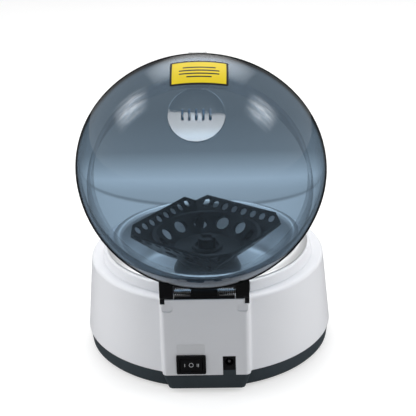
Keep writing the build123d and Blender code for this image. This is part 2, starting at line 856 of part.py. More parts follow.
# Drive adaptor pressed on the shaft: a flange for the rotor to sit on and a stem for it to grip
with BuildPart() as drive_adaptor:
    extrude(disc(Plane.XY.offset(adaptor_bottom), adaptor_radius), amount=adaptor_top - adaptor_bottom)
    chamfer(drive_adaptor.faces().sort_by(Axis.Z)[-1].edges(), adaptor_edge)
    extrude(disc(Plane.XY.offset(hub_bottom), adaptor_flange_radius), amount=-adaptor_flange)
    shaft_bore = disc(Plane.XY.offset(adaptor_bottom), motor_shaft_radius)
    extrude(shaft_bore, amount=motor_shaft_top - adaptor_bottom, mode=Mode.SUBTRACT)
drive_adaptor.part.label = "drive_adaptor"
export_step(drive_adaptor.part, "parts/drive_adaptor.step")


def slope_radius(z):
    """Distance of the rotor's upper face from the axis at a height."""
    return z - rotor_slope_start


def slope_plane(angle, reach):
    """Plane on the rotor's upper face at an angle from the front and a distance from the axis."""
    out = Vector(-sin(radians(angle)), -cos(radians(angle)), 0)
    origin = out * reach + Vector(0, 0, reach + rotor_slope_start)
    return Plane(origin=origin, x_dir=out.cross(Vector(0, 0, 1)), z_dir=Vector(0, 0, 1) - out)


# Rotor: an upturned square pyramid of plates for tube strips, a cone for single tubes, and a bell below
slope_depth = rotor_plate * sqrt(2)
pyramid_low = rotor_floor_height
corner_low = rotor_corner_top + rotor_corner_slope * (rotor_top - pyramid_low + slope_depth)
rotor_square = Plane.XY.rotated((0, 0, 270 - rotor_turn))
boss_top_height = rotor_floor_height + boss_height

with BuildPart() as rotor_limit:
    with BuildSketch(rotor_square.rotated((0, 0, 45)).offset(rotor_top)):
        Rectangle(2 * rotor_corner_top, 2 * rotor_corner_top)
    with BuildSketch(rotor_square.rotated((0, 0, 45)).offset(pyramid_low - slope_depth)):
        Rectangle(2 * corner_low, 2 * corner_low)
    loft()
    with BuildSketch(rotor_square.offset(pyramid_low - slope_depth)):
        Rectangle(2 * rotor_half_width, 2 * rotor_half_width)
    extrude(amount=rotor_top - pyramid_low + slope_depth, mode=Mode.INTERSECT)

with BuildPart() as rotor_hollow:
    with BuildSketch(rotor_square.offset(rotor_top + slope_depth)):
        top_half = slope_radius(rotor_top + slope_depth)
        Rectangle(2 * top_half, 2 * top_half)
    with BuildSketch(rotor_square.offset(pyramid_low)):
        low_half = slope_radius(pyramid_low)
        Rectangle(2 * low_half, 2 * low_half)
    loft()

with BuildPart() as rotor:
    with BuildSketch(rotor_square.offset(rotor_top)):
        top_half = slope_radius(rotor_top) + slope_depth
        Rectangle(2 * top_half, 2 * top_half)
    with BuildSketch(rotor_square.offset(pyramid_low - slope_depth)):
        low_half = slope_radius(pyramid_low)
        Rectangle(2 * low_half, 2 * low_half)
    loft()
    add(rotor_limit.part, mode=Mode.INTERSECT)
    add(rotor_hollow.part, mode=Mode.SUBTRACT)
    # cone, floor with its middle boss, bell and hub
    with BuildSketch(Plane.XZ):
        with BuildLine():
            Polyline(
                (0, boss_top_height),
                (boss_radius - boss_edge, boss_top_height),
                (boss_radius, boss_top_height - boss_edge),
                (boss_radius, rotor_floor_height),
                (slope_radius(rotor_floor_height), rotor_floor_height),
                (slope_radius(rotor_cone_top), rotor_cone_top),
                (slope_radius(rotor_cone_top) + slope_depth, rotor_cone_top),
                (slope_radius(rotor_floor_height) + slope_depth - rotor_floor,
                 rotor_floor_height - rotor_floor),
                (bell_waist_radius, bell_waist_height),
                (bell_bottom_radius, bell_flare_height),
                (bell_bottom_radius, rotor_bottom + bell_edge),
                (bell_bottom_radius - bell_edge, rotor_bottom),
                (bell_bottom_radius - bell_wall, rotor_bottom),
                (bell_bottom_radius - bell_wall, bell_flare_height),
                (bell_waist_radius - bell_wall, bell_waist_height),
                (bell_waist_radius - bell_wall, rotor_floor_height - rotor_floor),
                (hub_radius, rotor_floor_height - rotor_floor),
                (hub_radius, hub_bottom),
                (0, hub_bottom),
                close=True,
            )
        make_face()
    revolve(axis=Axis.Z)
    # groove in the middle boss round the split collet that snaps over the drive adaptor
    extrude(disc(Plane.XY.offset(rotor_floor_height), collet_ring_radius), amount=boss_height,
            mode=Mode.SUBTRACT)
    extrude(disc(Plane.XY.offset(rotor_floor_height), collet_radius), amount=collet_height)
    collet_top = rotor_floor_height + collet_height
    with BuildSketch(rotor_square.offset(collet_top)):
        Rectangle(collet_slot, 2 * collet_ring_radius)
    extrude(amount=-collet_height, mode=Mode.SUBTRACT)
    bore = disc(Plane.XY.offset(hub_bottom), adaptor_radius + running_gap)
    extrude(bore, amount=collet_top - hub_bottom, mode=Mode.SUBTRACT)
    # eight small holes a side, for tube strips
    side_step = 360 / rotor_sides
    for side in range(rotor_sides):
        with BuildSketch(slope_plane(rotor_turn + side_step * side, strip_hole_reach)):
            with GridLocations(strip_hole_pitch, 0, strip_hole_count, 1):
                Circle(strip_hole_radius)
        extrude(amount=2 * slope_depth, both=True, mode=Mode.SUBTRACT)
    # twelve holes for single tubes
    hole_step = 360 / tube_hole_count
    for hole in range(tube_hole_count):
        place = slope_plane(rotor_turn + hole_step * (hole + 0.5), tube_hole_reach)
        extrude(disc(place, tube_hole_radius), amount=3 * slope_depth, both=True, mode=Mode.SUBTRACT)
rotor.part.label = "rotor"
export_step(rotor.part, "parts/rotor.step")

# Lid: a clear spherical dome with an inner skirt and a flat round spot to press on, standing open
lid_plane = opened(Plane.XZ)
lid_axis = Axis(lid_plane.origin, lid_plane.y_dir)


def sphere_reach(radius, z):
    """Distance from the closed lid's axis of a sphere about the dome's centre, at a height."""
    return sqrt(radius ** 2 - (z - lid_centre) ** 2)


def sphere_height(radius, reach):
    """Height on the closed lid of a sphere about the dome's centre, at a distance from the axis."""
    return lid_centre + sqrt(radius ** 2 - reach ** 2)


with BuildPart() as lid_dome:
    inner_rim = sphere_reach(lid_inner_sphere, rim_height)
    waist = (rim_height + lid_axis_top) / 2
    with BuildSketch(lid_plane) as dome_profile:
        with BuildLine():
            ThreePointArc((lid_radius, rim_height), (sphere_reach(lid_sphere, waist), waist),
                          (0, lid_axis_top))
            Line((0, lid_axis_top), (0, lid_axis_top - lid_wall))
            ThreePointArc((0, lid_axis_top - lid_wall), (sphere_reach(lid_inner_sphere, waist), waist),
                          (inner_rim, rim_height))
            Line((inner_rim, rim_height), (lid_radius, rim_height))
        make_face()
    revolve(axis=lid_axis)
    skirt_inner = skirt_radius - skirt_wall
    with BuildSketch(lid_plane):
        with BuildLine():
            Polyline(
                (skirt_inner, rim_height + skirt_start),
                (skirt_radius, rim_height + skirt_start),
                (skirt_radius, sphere_height(lid_inner_sphere, skirt_radius) + fit_gap),
                (skirt_inner, sphere_height(lid_inner_sphere, skirt_inner) + fit_gap),
                close=True,
            )
        make_face()
    revolve(axis=lid_axis)
    press_plane = opened(lid_direction_plane(press_angle, lid_sphere - press_recess))
    extrude(disc(press_plane, press_radius), amount=-press_depth)
    extrude(disc(press_plane, press_radius), amount=lid_wall, mode=Mode.SUBTRACT)
    with BuildSketch(press_plane):
        with GridLocations(press_rib_pitch, 0, press_rib_count, 1):
            SlotOverall(press_rib_length, press_rib_width, rotation=90)
    extrude(amount=press_rib_height)
lid_dome.part.label = "lid_dome"
export_step(lid_dome.part, "parts/lid_dome.step")

# Label that follows the dome's outside
with BuildPart() as lid_label:
    with Locations(opened(Plane.XY.offset(lid_centre))):
        Sphere(label_sphere)
        Sphere(lid_sphere, mode=Mode.SUBTRACT)
    with BuildSketch(opened(lid_direction_plane(label_angle, lid_sphere - lid_wall - label_sag))):
        RectangleRounded(label_width, label_length, label_corner)
    extrude(amount=label_length, mode=Mode.INTERSECT)
lid_label.part.label = "lid_label"
export_step(lid_label.part, "parts/lid_label.step")

# Two hinge arms on the dome, their tails turning in the housing's pockets
for name, side in (("hinge_arm_left", -1), ("hinge_arm_right", 1)):
    with BuildPart() as arm:
        arm_middle = side * (arm_inner + arm_outer) / 2
        with BuildSketch(opened(Plane.YZ.offset(arm_middle))):
            with Locations((hinge_y, hinge_z)):
                Circle(arm_radius)
            with BuildLine():
                Polyline(
                    (hinge_y, hinge_z + arm_radius),
                    (hinge_y - arm_reach, hinge_z + arm_top),
                    (hinge_y - arm_reach, hinge_z - arm_bottom),
                    (hinge_y, hinge_z - arm_radius),
                    close=True,
                )
            make_face()
        extrude(amount=(arm_outer - arm_inner) / 2, both=True)
        with BuildSketch(opened(Plane.YZ.offset(side * (arm_outer - arm_tail_width / 2)))):
            with Locations((hinge_y + arm_tail / 2, hinge_z)):
                Rectangle(arm_tail, arm_tail_thickness)
        extrude(amount=arm_tail_width / 2, both=True)
        with Locations(opened(Plane.XY.offset(lid_centre))):
            Sphere(lid_sphere, mode=Mode.SUBTRACT)
        with BuildSketch(opened(Plane.YZ.offset(arm_middle))):
            with Locations((hinge_y, hinge_z)):
                Circle(hinge_shaft_radius)
        extrude(amount=arm_outer - arm_inner, both=True, mode=Mode.SUBTRACT)
    arm.part.label = name
    export_step(arm.part, "parts/" + name + ".step")

# Steel shaft in both arms, turning in the hinge block's knuckle
with BuildPart() as hinge_shaft:
    with BuildSketch(Plane.YZ):
        with Locations((hinge_y, hinge_z)):
            Circle(hinge_shaft_radius)
    extrude(amount=arm_outer - fit_gap, both=True)
hinge_shaft.part.label = "hinge_shaft"
export_step(hinge_shaft.part, "parts/hinge_shaft.step")

# Hinge block on the rear panel's top
block_half_width = arm_inner - 2 * fit_gap
with BuildPart() as hinge_block:
    with BuildSketch(Plane.YZ):
        with BuildLine():
            Polyline(
                (hinge_base_front, panel_height),
                (hinge_base_back, panel_height),
                (hinge_base_back, hinge_base_top + hinge_lip_height - hinge_base_height),
                (hinge_base_back - hinge_lip_depth, hinge_base_top + hinge_lip_height - hinge_base_height),
                (hinge_base_back - hinge_lip_depth, hinge_base_top),
                (hinge_base_front, hinge_base_top),
                close=True,
            )
        make_face()
    extrude(amount=block_half_width, both=True)
    with BuildSketch(Plane.YZ):
        with Locations((hinge_y, hinge_z)):
            Circle(knuckle_radius)
        with Locations(((hinge_base_front + hinge_y + knuckle_radius) / 2, (panel_height + hinge_z) / 2)):
            Rectangle(hinge_y + knuckle_radius - hinge_base_front, hinge_z - panel_height)
    extrude(amount=knuckle_half_width, both=True)
    with BuildSketch(Plane.YZ):
        with Locations((hinge_y, hinge_z)):
            Circle(hinge_shaft_radius + running_gap)
    extrude(amount=arm_inner, both=True, mode=Mode.SUBTRACT)
    with BuildSketch(Plane.XY.offset(panel_height)):
        with Locations((-hinge_screw_x, hinge_screw_y), (hinge_screw_x, hinge_screw_y)):
            Circle(screw_radius)
    extrude(amount=inside_top + hinge_screw_length - panel_height, mode=Mode.SUBTRACT)
hinge_block.part.label = "hinge_block"
export_step(hinge_block.part, "parts/hinge_block.step")

with BuildPart() as hinge_block_screws:
    for x in (-hinge_screw_x, hinge_screw_x):
        screw(Plane(origin=(x, hinge_screw_y, inside_top), z_dir=(0, 0, -1)), hinge_screw_length)
hinge_block_screws.part.label = "hinge_block_screws"
export_step(hinge_block_screws.part, "parts/hinge_block_screws.step")

# Dark strip in the collar's recess in front of the hinge
with BuildPart() as hinge_cover:
    with BuildSketch(Plane.XY.offset(ledge_height)):
        Circle(hinge_recess_radius + hinge_cover_thickness)
        Circle(hinge_recess_radius, mode=Mode.SUBTRACT)
        with Locations((0, collar_bottom_radius)):
            Rectangle(2 * (hinge_recess_half_width - fit_gap), collar_bottom_radius, mode=Mode.INTERSECT)
    extrude(amount=collar_rise - fit_gap)
hinge_cover.part.label = "hinge_cover"
export_step(hinge_cover.part, "parts/hinge_cover.step")

# Torsion springs wound round the shaft on both sides of the knuckle
spring_length = arm_inner - knuckle_half_width - 2 * spring_end_gap - spring_wire
spring_pitch = spring_length / spring_turns
for name, side in (("hinge_spring_left", -1), ("hinge_spring_right", 1)):
    with BuildPart() as hinge_spring:
        start = Vector(side * (knuckle_half_width + spring_end_gap + spring_wire / 2), hinge_y, hinge_z)
        along = Vector(side, 0, 0)
        coil = (start, spring_radius, spring_pitch)
        way_out = (along, Vector(0, 1, 0), Vector(0, 0, 1))
        first, first_way = coil_point(*coil, 0, *way_out)
        last, last_way = coil_point(*coil, spring_turns, *way_out)
        with BuildLine() as spring_line:
            Line(first - first_way * spring_leg, first)
            add_coil(*coil, spring_turns, *way_out)
            Line(last, last + last_way * spring_leg)
        leg_plane = Plane(origin=first - first_way * spring_leg, z_dir=first_way)
        with BuildSketch(leg_plane):
            Circle(spring_wire / 2)
        sweep(path=spring_line.line)
    hinge_spring.part.label = name
    export_step(hinge_spring.part, "parts/" + name + ".step")
print_coil_gap("hinge_spring", spring_radius, spring_pitch, spring_turns, spring_wire)

# Striker under the lid's front edge, with the slotted tab that the latch holds
with BuildPart() as lid_striker:
    tab_bottom = latch_z - tab_window_height / 2 - tab_end
    with BuildSketch(opened(Plane.YZ)):
        with BuildLine():
            Polyline(
                (-striker_front, rim_height),
                (-striker_back, rim_height),
                (-striker_back, striker_step - (striker_back - striker_foot) / 2),
                (-striker_foot, striker_step),
                (-striker_foot, striker_top),
                (-striker_front, striker_top),
                close=True,
            )
        make_face()
    extrude(amount=striker_half_width, both=True)
    with Locations(opened(Plane.XY.offset(lid_centre))):
        Sphere(lid_inner_sphere, mode=Mode.INTERSECT)
    with BuildSketch(opened(Plane.XZ.offset(tab_place - tab_thickness / 2))):
        with Locations((0, (tab_bottom + rim_height + tab_root) / 2)):
            Rectangle(2 * tab_half_width, rim_height + tab_root - tab_bottom)
        with Locations((0, latch_z)):
            Rectangle(2 * tab_window_half, tab_window_height, mode=Mode.SUBTRACT)
    extrude(amount=tab_thickness)
    with BuildSketch(opened(Plane.XY.offset(rim_height + magnet_cover))):
        with Locations((magnet_x, -magnet_y)):
            Circle(magnet_radius)
    extrude(amount=magnet_length, mode=Mode.SUBTRACT)
lid_striker.part.label = "lid_striker"
export_step(lid_striker.part, "parts/lid_striker.step")

with BuildPart() as lid_magnet:
    with BuildSketch(opened(Plane.XY.offset(rim_height + magnet_cover))):
        with Locations((magnet_x, -magnet_y)):
            Circle(magnet_radius)
    extrude(amount=magnet_length)
lid_magnet.part.label = "lid_magnet"
export_step(lid_magnet.part, "parts/lid_magnet.step")

# Latch slider: push button, two rails past the tab, and a tongue that points forward from their back bar
with BuildPart() as latch_slider:
    button_face = housing_radius(latch_z) + button_proud
    button_root = tab_place + tab_thickness / 2 + latch_travel + fit_gap
    with BuildSketch(Plane.XZ.offset(button_root)):
        with Locations((0, latch_z)):
            RectangleRounded(button_width, button_height, button_corner)
    extrude(amount=button_face - button_root)
    fillet(latch_slider.faces().sort_by(Axis.Y)[0].edges(), button_edge)
    rail_middle = button_width / 2 - latch_rail / 2 - slack
    with BuildSketch(Plane.XZ.offset(latch_rail_back)):
        with Locations((-rail_middle, latch_z), (rail_middle, latch_z)):
            Rectangle(latch_rail, latch_rail_height)
    extrude(amount=button_root - latch_rail_back)
    back_half = rail_middle + latch_rail / 2
    with BuildSketch(Plane.XZ.offset(latch_back - latch_back_depth)):
        with Locations((0, latch_z)):
            Rectangle(2 * back_half, latch_rail_height)
    extrude(amount=latch_back_depth)
    tongue_low = latch_z - latch_tongue_height / 2
    with BuildSketch(Plane.YZ):
        with BuildLine():
            Polyline(
                (-latch_back, tongue_low),
                (-latch_tongue_end, tongue_low),
                (-latch_tongue_end, latch_z),
                (-tab_place, tongue_low + latch_tongue_height),
                (-latch_back, tongue_low + latch_tongue_height),
                close=True,
            )
        make_face()
    extrude(amount=latch_tongue_half, both=True)
    spring_seat = latch_back - latch_back_depth
    with BuildSketch(Plane.XZ.offset(spring_seat)):
        with Locations((0, latch_z)):
            Circle(latch_spring_bore)
    extrude(amount=latch_spring_bore_depth, mode=Mode.SUBTRACT)
latch_slider.part.label = "latch_slider"
export_step(latch_slider.part, "parts/latch_slider.step")

# Return spring between the slider's bore and the latch body's end wall
with BuildPart() as latch_spring:
    seat_y = -(latch_back - latch_back_depth + latch_spring_bore_depth)
    return_length = -latch_end_wall - seat_y - latch_spring_wire
    return_pitch = return_length / latch_spring_turns
    start = Vector(0, seat_y + latch_spring_wire / 2, latch_z)
    coil = (start, latch_spring_radius, return_pitch)
    way_out = (Vector(0, 1, 0), Vector(1, 0, 0), Vector(0, 0, -1))
    first, first_way = coil_point(*coil, 0, *way_out)
    with BuildLine() as return_line:
        add_coil(*coil, latch_spring_turns, *way_out)
    with BuildSketch(Plane(origin=first, z_dir=first_way)):
        Circle(latch_spring_wire / 2)
    sweep(path=return_line.line)
latch_spring.part.label = "latch_spring"
export_step(latch_spring.part, "parts/latch_spring.step")
print_coil_gap("latch_spring", latch_spring_radius, return_pitch, latch_spring_turns, latch_spring_wire)

# Latch body under the ledge, guiding the slider
latch_floor_top = latch_z - button_height / 2 - fit_gap
with BuildPart() as latch_body:
    outer_half = latch_half + latch_side
    body_back = latch_end_wall - latch_end_thickness
    with BuildSketch(Plane.XY.offset(latch_floor_top - latch_floor)):
        with Locations((0, -(latch_front + body_back) / 2)):
            Rectangle(2 * outer_half, latch_front - body_back)
    extrude(amount=inside_top - latch_floor_top + latch_floor)
    with BuildSketch(Plane.XY.offset(latch_floor_top)):
        with Locations((0, -(latch_front + latch_end_wall) / 2)):
            Rectangle(2 * latch_half, latch_front - latch_end_wall)
    extrude(amount=inside_top - latch_floor_top, mode=Mode.SUBTRACT)
    with BuildSketch(Plane.XY.offset(inside_top)):
        with Locations(*latch_screw_places):
            Rectangle(latch_ear, latch_ear_front - latch_ear_back)
    extrude(amount=-latch_ear_thickness)
    with BuildSketch(Plane.XY.offset(inside_top)):
        with Locations(*latch_screw_places):
            Circle(screw_radius)
    extrude(amount=-latch_ear_thickness, mode=Mode.SUBTRACT)
latch_body.part.label = "latch_body"
export_step(latch_body.part, "parts/latch_body.step")

with BuildPart() as latch_screws:
    for x, y in latch_screw_places:
        screw(Plane(origin=(x, y, inside_top - latch_ear_thickness), z_dir=(0, 0, -1)),
              latch_ear_thickness + housing_wall - 2 * fit_gap)
latch_screws.part.label = "latch_screws"
export_step(latch_screws.part, "parts/latch_screws.step")

# Sensor beside the slot, under the magnet's place when the lid is shut
with BuildPart() as lid_sensor:
    with BuildSketch(Plane.XY.offset(inside_top - fit_gap)):
        with Locations((latch_half - sensor_length / 2, -sensor_y)):
            Rectangle(sensor_length, sensor_depth)
    extrude(amount=-sensor_thickness)
lid_sensor.part.label = "lid_sensor"
export_step(lid_sensor.part, "parts/lid_sensor.step")

# Rocker switch: frame in the panel, button on two stub pins, and its terminals
rocker_pivot_y = panel_place + rocker_pivot_proud
rocker_pin_half = rocker_pin_length / 2
with BuildPart() as rocker_frame:
    with BuildSketch(Plane.XZ.offset(-panel_place)):
        with Locations((rocker_x, rocker_z)):
            RectangleRounded(rocker_width, rocker_height, rocker_wall)
    extrude(amount=-rocker_flange)
    fillet(rocker_frame.faces().sort_by(Axis.Y)[-1].edges(), rocker_wall / 2)
    with BuildSketch(Plane.XZ.offset(-panel_place)):
        with Locations((rocker_x, rocker_z)):
            Rectangle(rocker_body_width, rocker_body_height)
    extrude(amount=rocker_body_depth)
    with BuildSketch(Plane.XZ.offset(-panel_place - rocker_flange)):
        with Locations((rocker_x, rocker_z)):
            Rectangle(rocker_body_width - 2 * rocker_wall, rocker_body_height - 2 * rocker_wall)
    extrude(amount=rocker_cavity_depth, mode=Mode.SUBTRACT)
    with BuildSketch(Plane.XY.offset(rocker_z)):
        with Locations((rocker_x, rocker_pivot_y)):
            Circle(rocker_pin_radius + running_gap)
    extrude(amount=rocker_pin_half + slack / 2, both=True, mode=Mode.SUBTRACT)
rocker_frame.part.label = "rocker_frame"
export_step(rocker_frame.part, "parts/rocker_frame.step")

with BuildPart() as rocker_button:
    front_y = panel_place + rocker_face
    with BuildSketch(Plane.XY.offset(rocker_z)):
        with Locations((rocker_x, rocker_pivot_y)):
            Circle(rocker_barrel_radius)
        with BuildLine():
            Polyline(
                (rocker_x - rocker_barrel_radius, front_y),
                (rocker_x, front_y - rocker_dish),
                (rocker_x + rocker_barrel_radius, front_y),
                (rocker_x + rocker_barrel_radius, rocker_pivot_y - rocker_rear),
                (rocker_x - rocker_barrel_radius, rocker_pivot_y - rocker_rear),
                close=True,
            )
        make_face(mode=Mode.INTERSECT)
    extrude(amount=rocker_button_height / 2, both=True)
    with BuildSketch(Plane.XY.offset(rocker_z)):
        with Locations((rocker_x, rocker_pivot_y)):
            Circle(rocker_pin_radius)
    extrude(amount=rocker_pin_half, both=True)
rocker_button.part.label = "rocker_button"
export_step(rocker_button.part, "parts/rocker_button.step")

with BuildPart() as switch_terminals:
    with BuildSketch(Plane.XZ.offset(rocker_body_depth - panel_place)):
        with Locations((rocker_x, rocker_z)):
            with GridLocations(terminal_pitch, 0, terminal_count, 1):
                Rectangle(terminal_thickness, terminal_width)
    extrude(amount=terminal_length)
switch_terminals.part.label = "switch_terminals"
export_step(switch_terminals.part, "parts/switch_terminals.step")

# Power inlet with its middle pin and its solder lugs
inlet_z = (jack_top + jack_bottom) / 2
with BuildPart() as inlet_body:
    with BuildSketch(Plane.XZ.offset(-panel_place)):
        with Locations((jack_x, inlet_z)):
            Rectangle(jack_width, jack_top - jack_bottom)
    extrude(amount=jack_depth)
    with BuildSketch(Plane.XZ.offset(-panel_place)):
        with Locations((jack_x, jack_hole_z)):
            Circle(jack_hole_radius)
    extrude(amount=jack_hole_depth, mode=Mode.SUBTRACT)
inlet_body.part.label = "inlet_body"
export_step(inlet_body.part, "parts/inlet_body.step")

with BuildPart() as inlet_pin:
    with BuildSketch(Plane.XZ.offset(jack_hole_depth - panel_place)):
        with Locations((jack_x, jack_hole_z)):
            Circle(jack_pin_radius)
    extrude(amount=jack_pin_setback - jack_hole_depth)
inlet_pin.part.label = "inlet_pin"
export_step(inlet_pin.part, "parts/inlet_pin.step")

with BuildPart() as inlet_lugs:
    with BuildSketch(Plane.XZ.offset(jack_depth - panel_place)):
        with Locations((jack_x, inlet_z)):
            with GridLocations(jack_lug_pitch, 0, jack_lug_count, 1):
                Rectangle(terminal_thickness, terminal_width)
    extrude(amount=jack_lug_length)
inlet_lugs.part.label = "inlet_lugs"
export_step(inlet_lugs.part, "parts/inlet_lugs.step")

# Small plate above the rocker
with BuildPart() as rating_plate:
    with BuildSketch(Plane.XZ.offset(-panel_place)):
        with Locations((rocker_x, plate_sticker_z)):
            RectangleRounded(plate_sticker_width, plate_sticker_height, label_corner)
    extrude(amount=-plate_sticker_thickness)
rating_plate.part.label = "rating_plate"
export_step(rating_plate.part, "parts/rating_plate.step")

# Circuit board on the base, with its parts and screws
board_top = board_z + board_thickness
with BuildPart() as circuit_board:
    with BuildSketch(Plane.XY.offset(board_z)):
        with Locations((0, board_y)):
            Rectangle(board_width, board_depth)
        with Locations(*board_screw_places):
            Circle(screw_radius, mode=Mode.SUBTRACT)
    extrude(amount=board_thickness)
circuit_board.part.label = "circuit_board"
export_step(circuit_board.part, "parts/circuit_board.step")

with BuildPart() as board_capacitors:
    with BuildSketch(Plane.XY.offset(board_top)):
        with Locations((-capacitor_x, board_y), (capacitor_x, board_y)):
            Circle(capacitor_radius)
    extrude(amount=capacitor_height)
board_capacitors.part.label = "board_capacitors"
export_step(board_capacitors.part, "parts/board_capacitors.step")

with BuildPart() as board_connectors:
    with BuildSketch(Plane.XY.offset(board_top)):
        with Locations((-connector_x, board_y + board_screw_y), (connector_x, board_y + board_screw_y)):
            Rectangle(connector_length, connector_width)
    extrude(amount=connector_height)
board_connectors.part.label = "board_connectors"
export_step(board_connectors.part, "parts/board_connectors.step")

with BuildPart() as control_chip:
    with BuildSketch(Plane.XY.offset(board_top)):
        with Locations((0, board_y - board_screw_y / 2)):
            Rectangle(chip_width, chip_width)
    extrude(amount=chip_height)
control_chip.part.label = "control_chip"
export_step(control_chip.part, "parts/control_chip.step")

with BuildPart() as board_screws:
    for x, y in board_screw_places:
        screw(Plane(origin=(x, y, board_top)), board_thickness + screw_bite)
board_screws.part.label = "board_screws"
export_step(board_screws.part, "parts/board_screws.step")
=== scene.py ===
import json
from math import acos, asin, cos, pi, radians, sin, sqrt, tan

import bmesh
import bpy
from mathutils import Matrix, Vector
from mathutils.bvhtree import BVHTree


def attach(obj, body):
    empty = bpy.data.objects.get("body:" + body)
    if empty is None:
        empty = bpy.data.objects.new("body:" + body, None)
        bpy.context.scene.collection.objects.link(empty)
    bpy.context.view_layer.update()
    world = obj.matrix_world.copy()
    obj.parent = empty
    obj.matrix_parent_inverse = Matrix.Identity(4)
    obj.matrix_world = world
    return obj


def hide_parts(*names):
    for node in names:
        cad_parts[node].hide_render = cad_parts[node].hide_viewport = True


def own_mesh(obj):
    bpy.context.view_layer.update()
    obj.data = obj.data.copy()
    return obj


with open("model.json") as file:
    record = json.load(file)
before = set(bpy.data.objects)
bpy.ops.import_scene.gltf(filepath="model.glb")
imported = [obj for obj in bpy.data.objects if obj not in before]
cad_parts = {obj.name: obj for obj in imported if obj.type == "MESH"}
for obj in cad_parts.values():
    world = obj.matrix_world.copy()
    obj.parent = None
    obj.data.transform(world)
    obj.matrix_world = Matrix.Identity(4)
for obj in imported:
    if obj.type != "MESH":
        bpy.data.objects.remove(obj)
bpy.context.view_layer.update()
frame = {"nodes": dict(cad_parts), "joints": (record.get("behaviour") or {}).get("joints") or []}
cad = frame["nodes"]
joints = {joint["name"]: joint for joint in frame["joints"]}
scene = bpy.context.scene
scene.view_settings.view_transform = "Standard"
mm = 0.001

# The studio: a pale table that the camera sees as white, a surround that is dimmer behind the camera,
# soft lamps where the photograph's highlights come from, and a long lens on the hinge side.
camera_azimuth = radians(-1.833)
camera_elevation = radians(23.379)
camera_roll = radians(-1.689)
camera_distance = 1.04793
camera_target = Vector((-0.001453, 0, 0.10403))
camera_lens = 121.4
sensor_width = 36.0
surround_light = 0.45
surround_shine_far = 0.40
surround_shine_near = 0.07
table_size = 12.0
table_shade = 0.58
table_glow = 0.52
table_glow_seen_through = (
    (-0.64, 0.24), (-0.51, 0.25), (-0.39, 0.36), (-0.35, 0.63), (-0.31, 0.97), (-0.28, 0.77), (-0.25, 0.68))
table_shine = 0.04
sheet_glow = 0.86
sheet_edge = -0.241
sheet_edge_bend = 2.5
sheet_edge_blur = 0.002
sheet_lip_width = 0.006
sheet_lip_shade = 0.6
surround_seen_through = 0.80

back = Vector((sin(camera_azimuth) * cos(camera_elevation), cos(camera_azimuth) * cos(camera_elevation),
               sin(camera_elevation)))
level_right = Vector((-cos(camera_azimuth), sin(camera_azimuth), 0))
level_up = back.cross(level_right)
camera_right = level_right * cos(camera_roll) + level_up * sin(camera_roll)
camera_up = level_up * cos(camera_roll) - level_right * sin(camera_roll)
lens = bpy.data.cameras.new("hinge_side_camera")
lens.lens = camera_lens
lens.sensor_width = sensor_width
lens.clip_end = 50.0
camera = bpy.data.objects.new("hinge_side_camera", lens)
camera_turn = Matrix((camera_right, camera_up, back)).transposed().to_4x4()
camera.matrix_world = Matrix.Translation(camera_target + back * camera_distance) @ camera_turn
scene.collection.objects.link(camera)
scene.camera = camera


def calculate(tree, operation, *values):
    """A Math node on numbers or outputs."""
    step = tree.nodes.new("ShaderNodeMath")
    step.operation = operation
    for socket, value in zip(step.inputs, values):
        if isinstance(value, (int, float)):
            socket.default_value = value
        else:
            tree.links.new(value, socket)
    return step.outputs[0]


def spread(tree, value, low, high, to_low, to_high):
    """A value mapped from one range to another and kept inside it."""
    mapped = tree.nodes.new("ShaderNodeMapRange")
    tree.links.new(value, mapped.inputs["Value"])
    for socket, number in (("From Min", low), ("From Max", high), ("To Min", to_low), ("To Max", to_high)):
        if isinstance(number, (int, float)):
            mapped.inputs[socket].default_value = number
        else:
            tree.links.new(number, mapped.inputs[socket])
    return mapped.outputs["Result"]


def noise(tree, coordinates, scale, detail, roughness):
    """A noise texture in a tree, its scale a number or an output."""
    texture = tree.nodes.new("ShaderNodeTexNoise")
    tree.links.new(coordinates, texture.inputs["Vector"])
    texture.inputs["Detail"].default_value = detail
    texture.inputs["Roughness"].default_value = roughness
    if isinstance(scale, (int, float)):
        texture.inputs["Scale"].default_value = scale
    else:
        tree.links.new(scale, texture.inputs["Scale"])
    return texture.outputs["Fac"]


def split_up(tree, vector):
    """The X, Y and Z outputs of a vector."""
    parts = tree.nodes.new("ShaderNodeSeparateXYZ")
    tree.links.new(vector, parts.inputs[0])
    return parts.outputs


def ramp(tree, value, stops):
    """Grey levels against a value from 0 to 1, straight between the stops."""
    levels = tree.nodes.new("ShaderNodeValToRGB")
    tree.links.new(value, levels.inputs["Fac"])
    elements = levels.color_ramp.elements
    while len(elements) < len(stops):
        elements.new(0.5)
    for element, (position, level) in zip(elements, stops):
        element.position = position
        element.color = (level, level, level, 1)
    return levels.outputs["Color"]


def colour_mix(tree, factor, first, second):
    """One colour blended into another by an output; each colour is three numbers or an output."""
    mixed = tree.nodes.new("ShaderNodeMix")
    mixed.data_type = "RGBA"
    tree.links.new(factor, mixed.inputs["Factor"])
    for socket, colour in (("A", first), ("B", second)):
        if isinstance(colour, tuple):
            mixed.inputs[socket].default_value = (*colour, 1)
        else:
            tree.links.new(colour, mixed.inputs[socket])
    return mixed.outputs["Result"]


def new_material(name):
    """A material that uses nodes, its tree and its Principled shader."""
    material = bpy.data.materials.new(name)
    material.use_nodes = True
    return material, material.node_tree, material.node_tree.nodes["Principled BSDF"]


def hide_from(lamp_object, *kinds):
    """Keeps a lamp out of some kinds of rays, such as mirror images; it still lights the pieces."""
    for kind in kinds:
        setattr(lamp_object, "visible_" + kind, False)


streak_stretch = (7.0, 1.6, 1.0)
streak_slant = radians(35)
streak_scale = 1.3


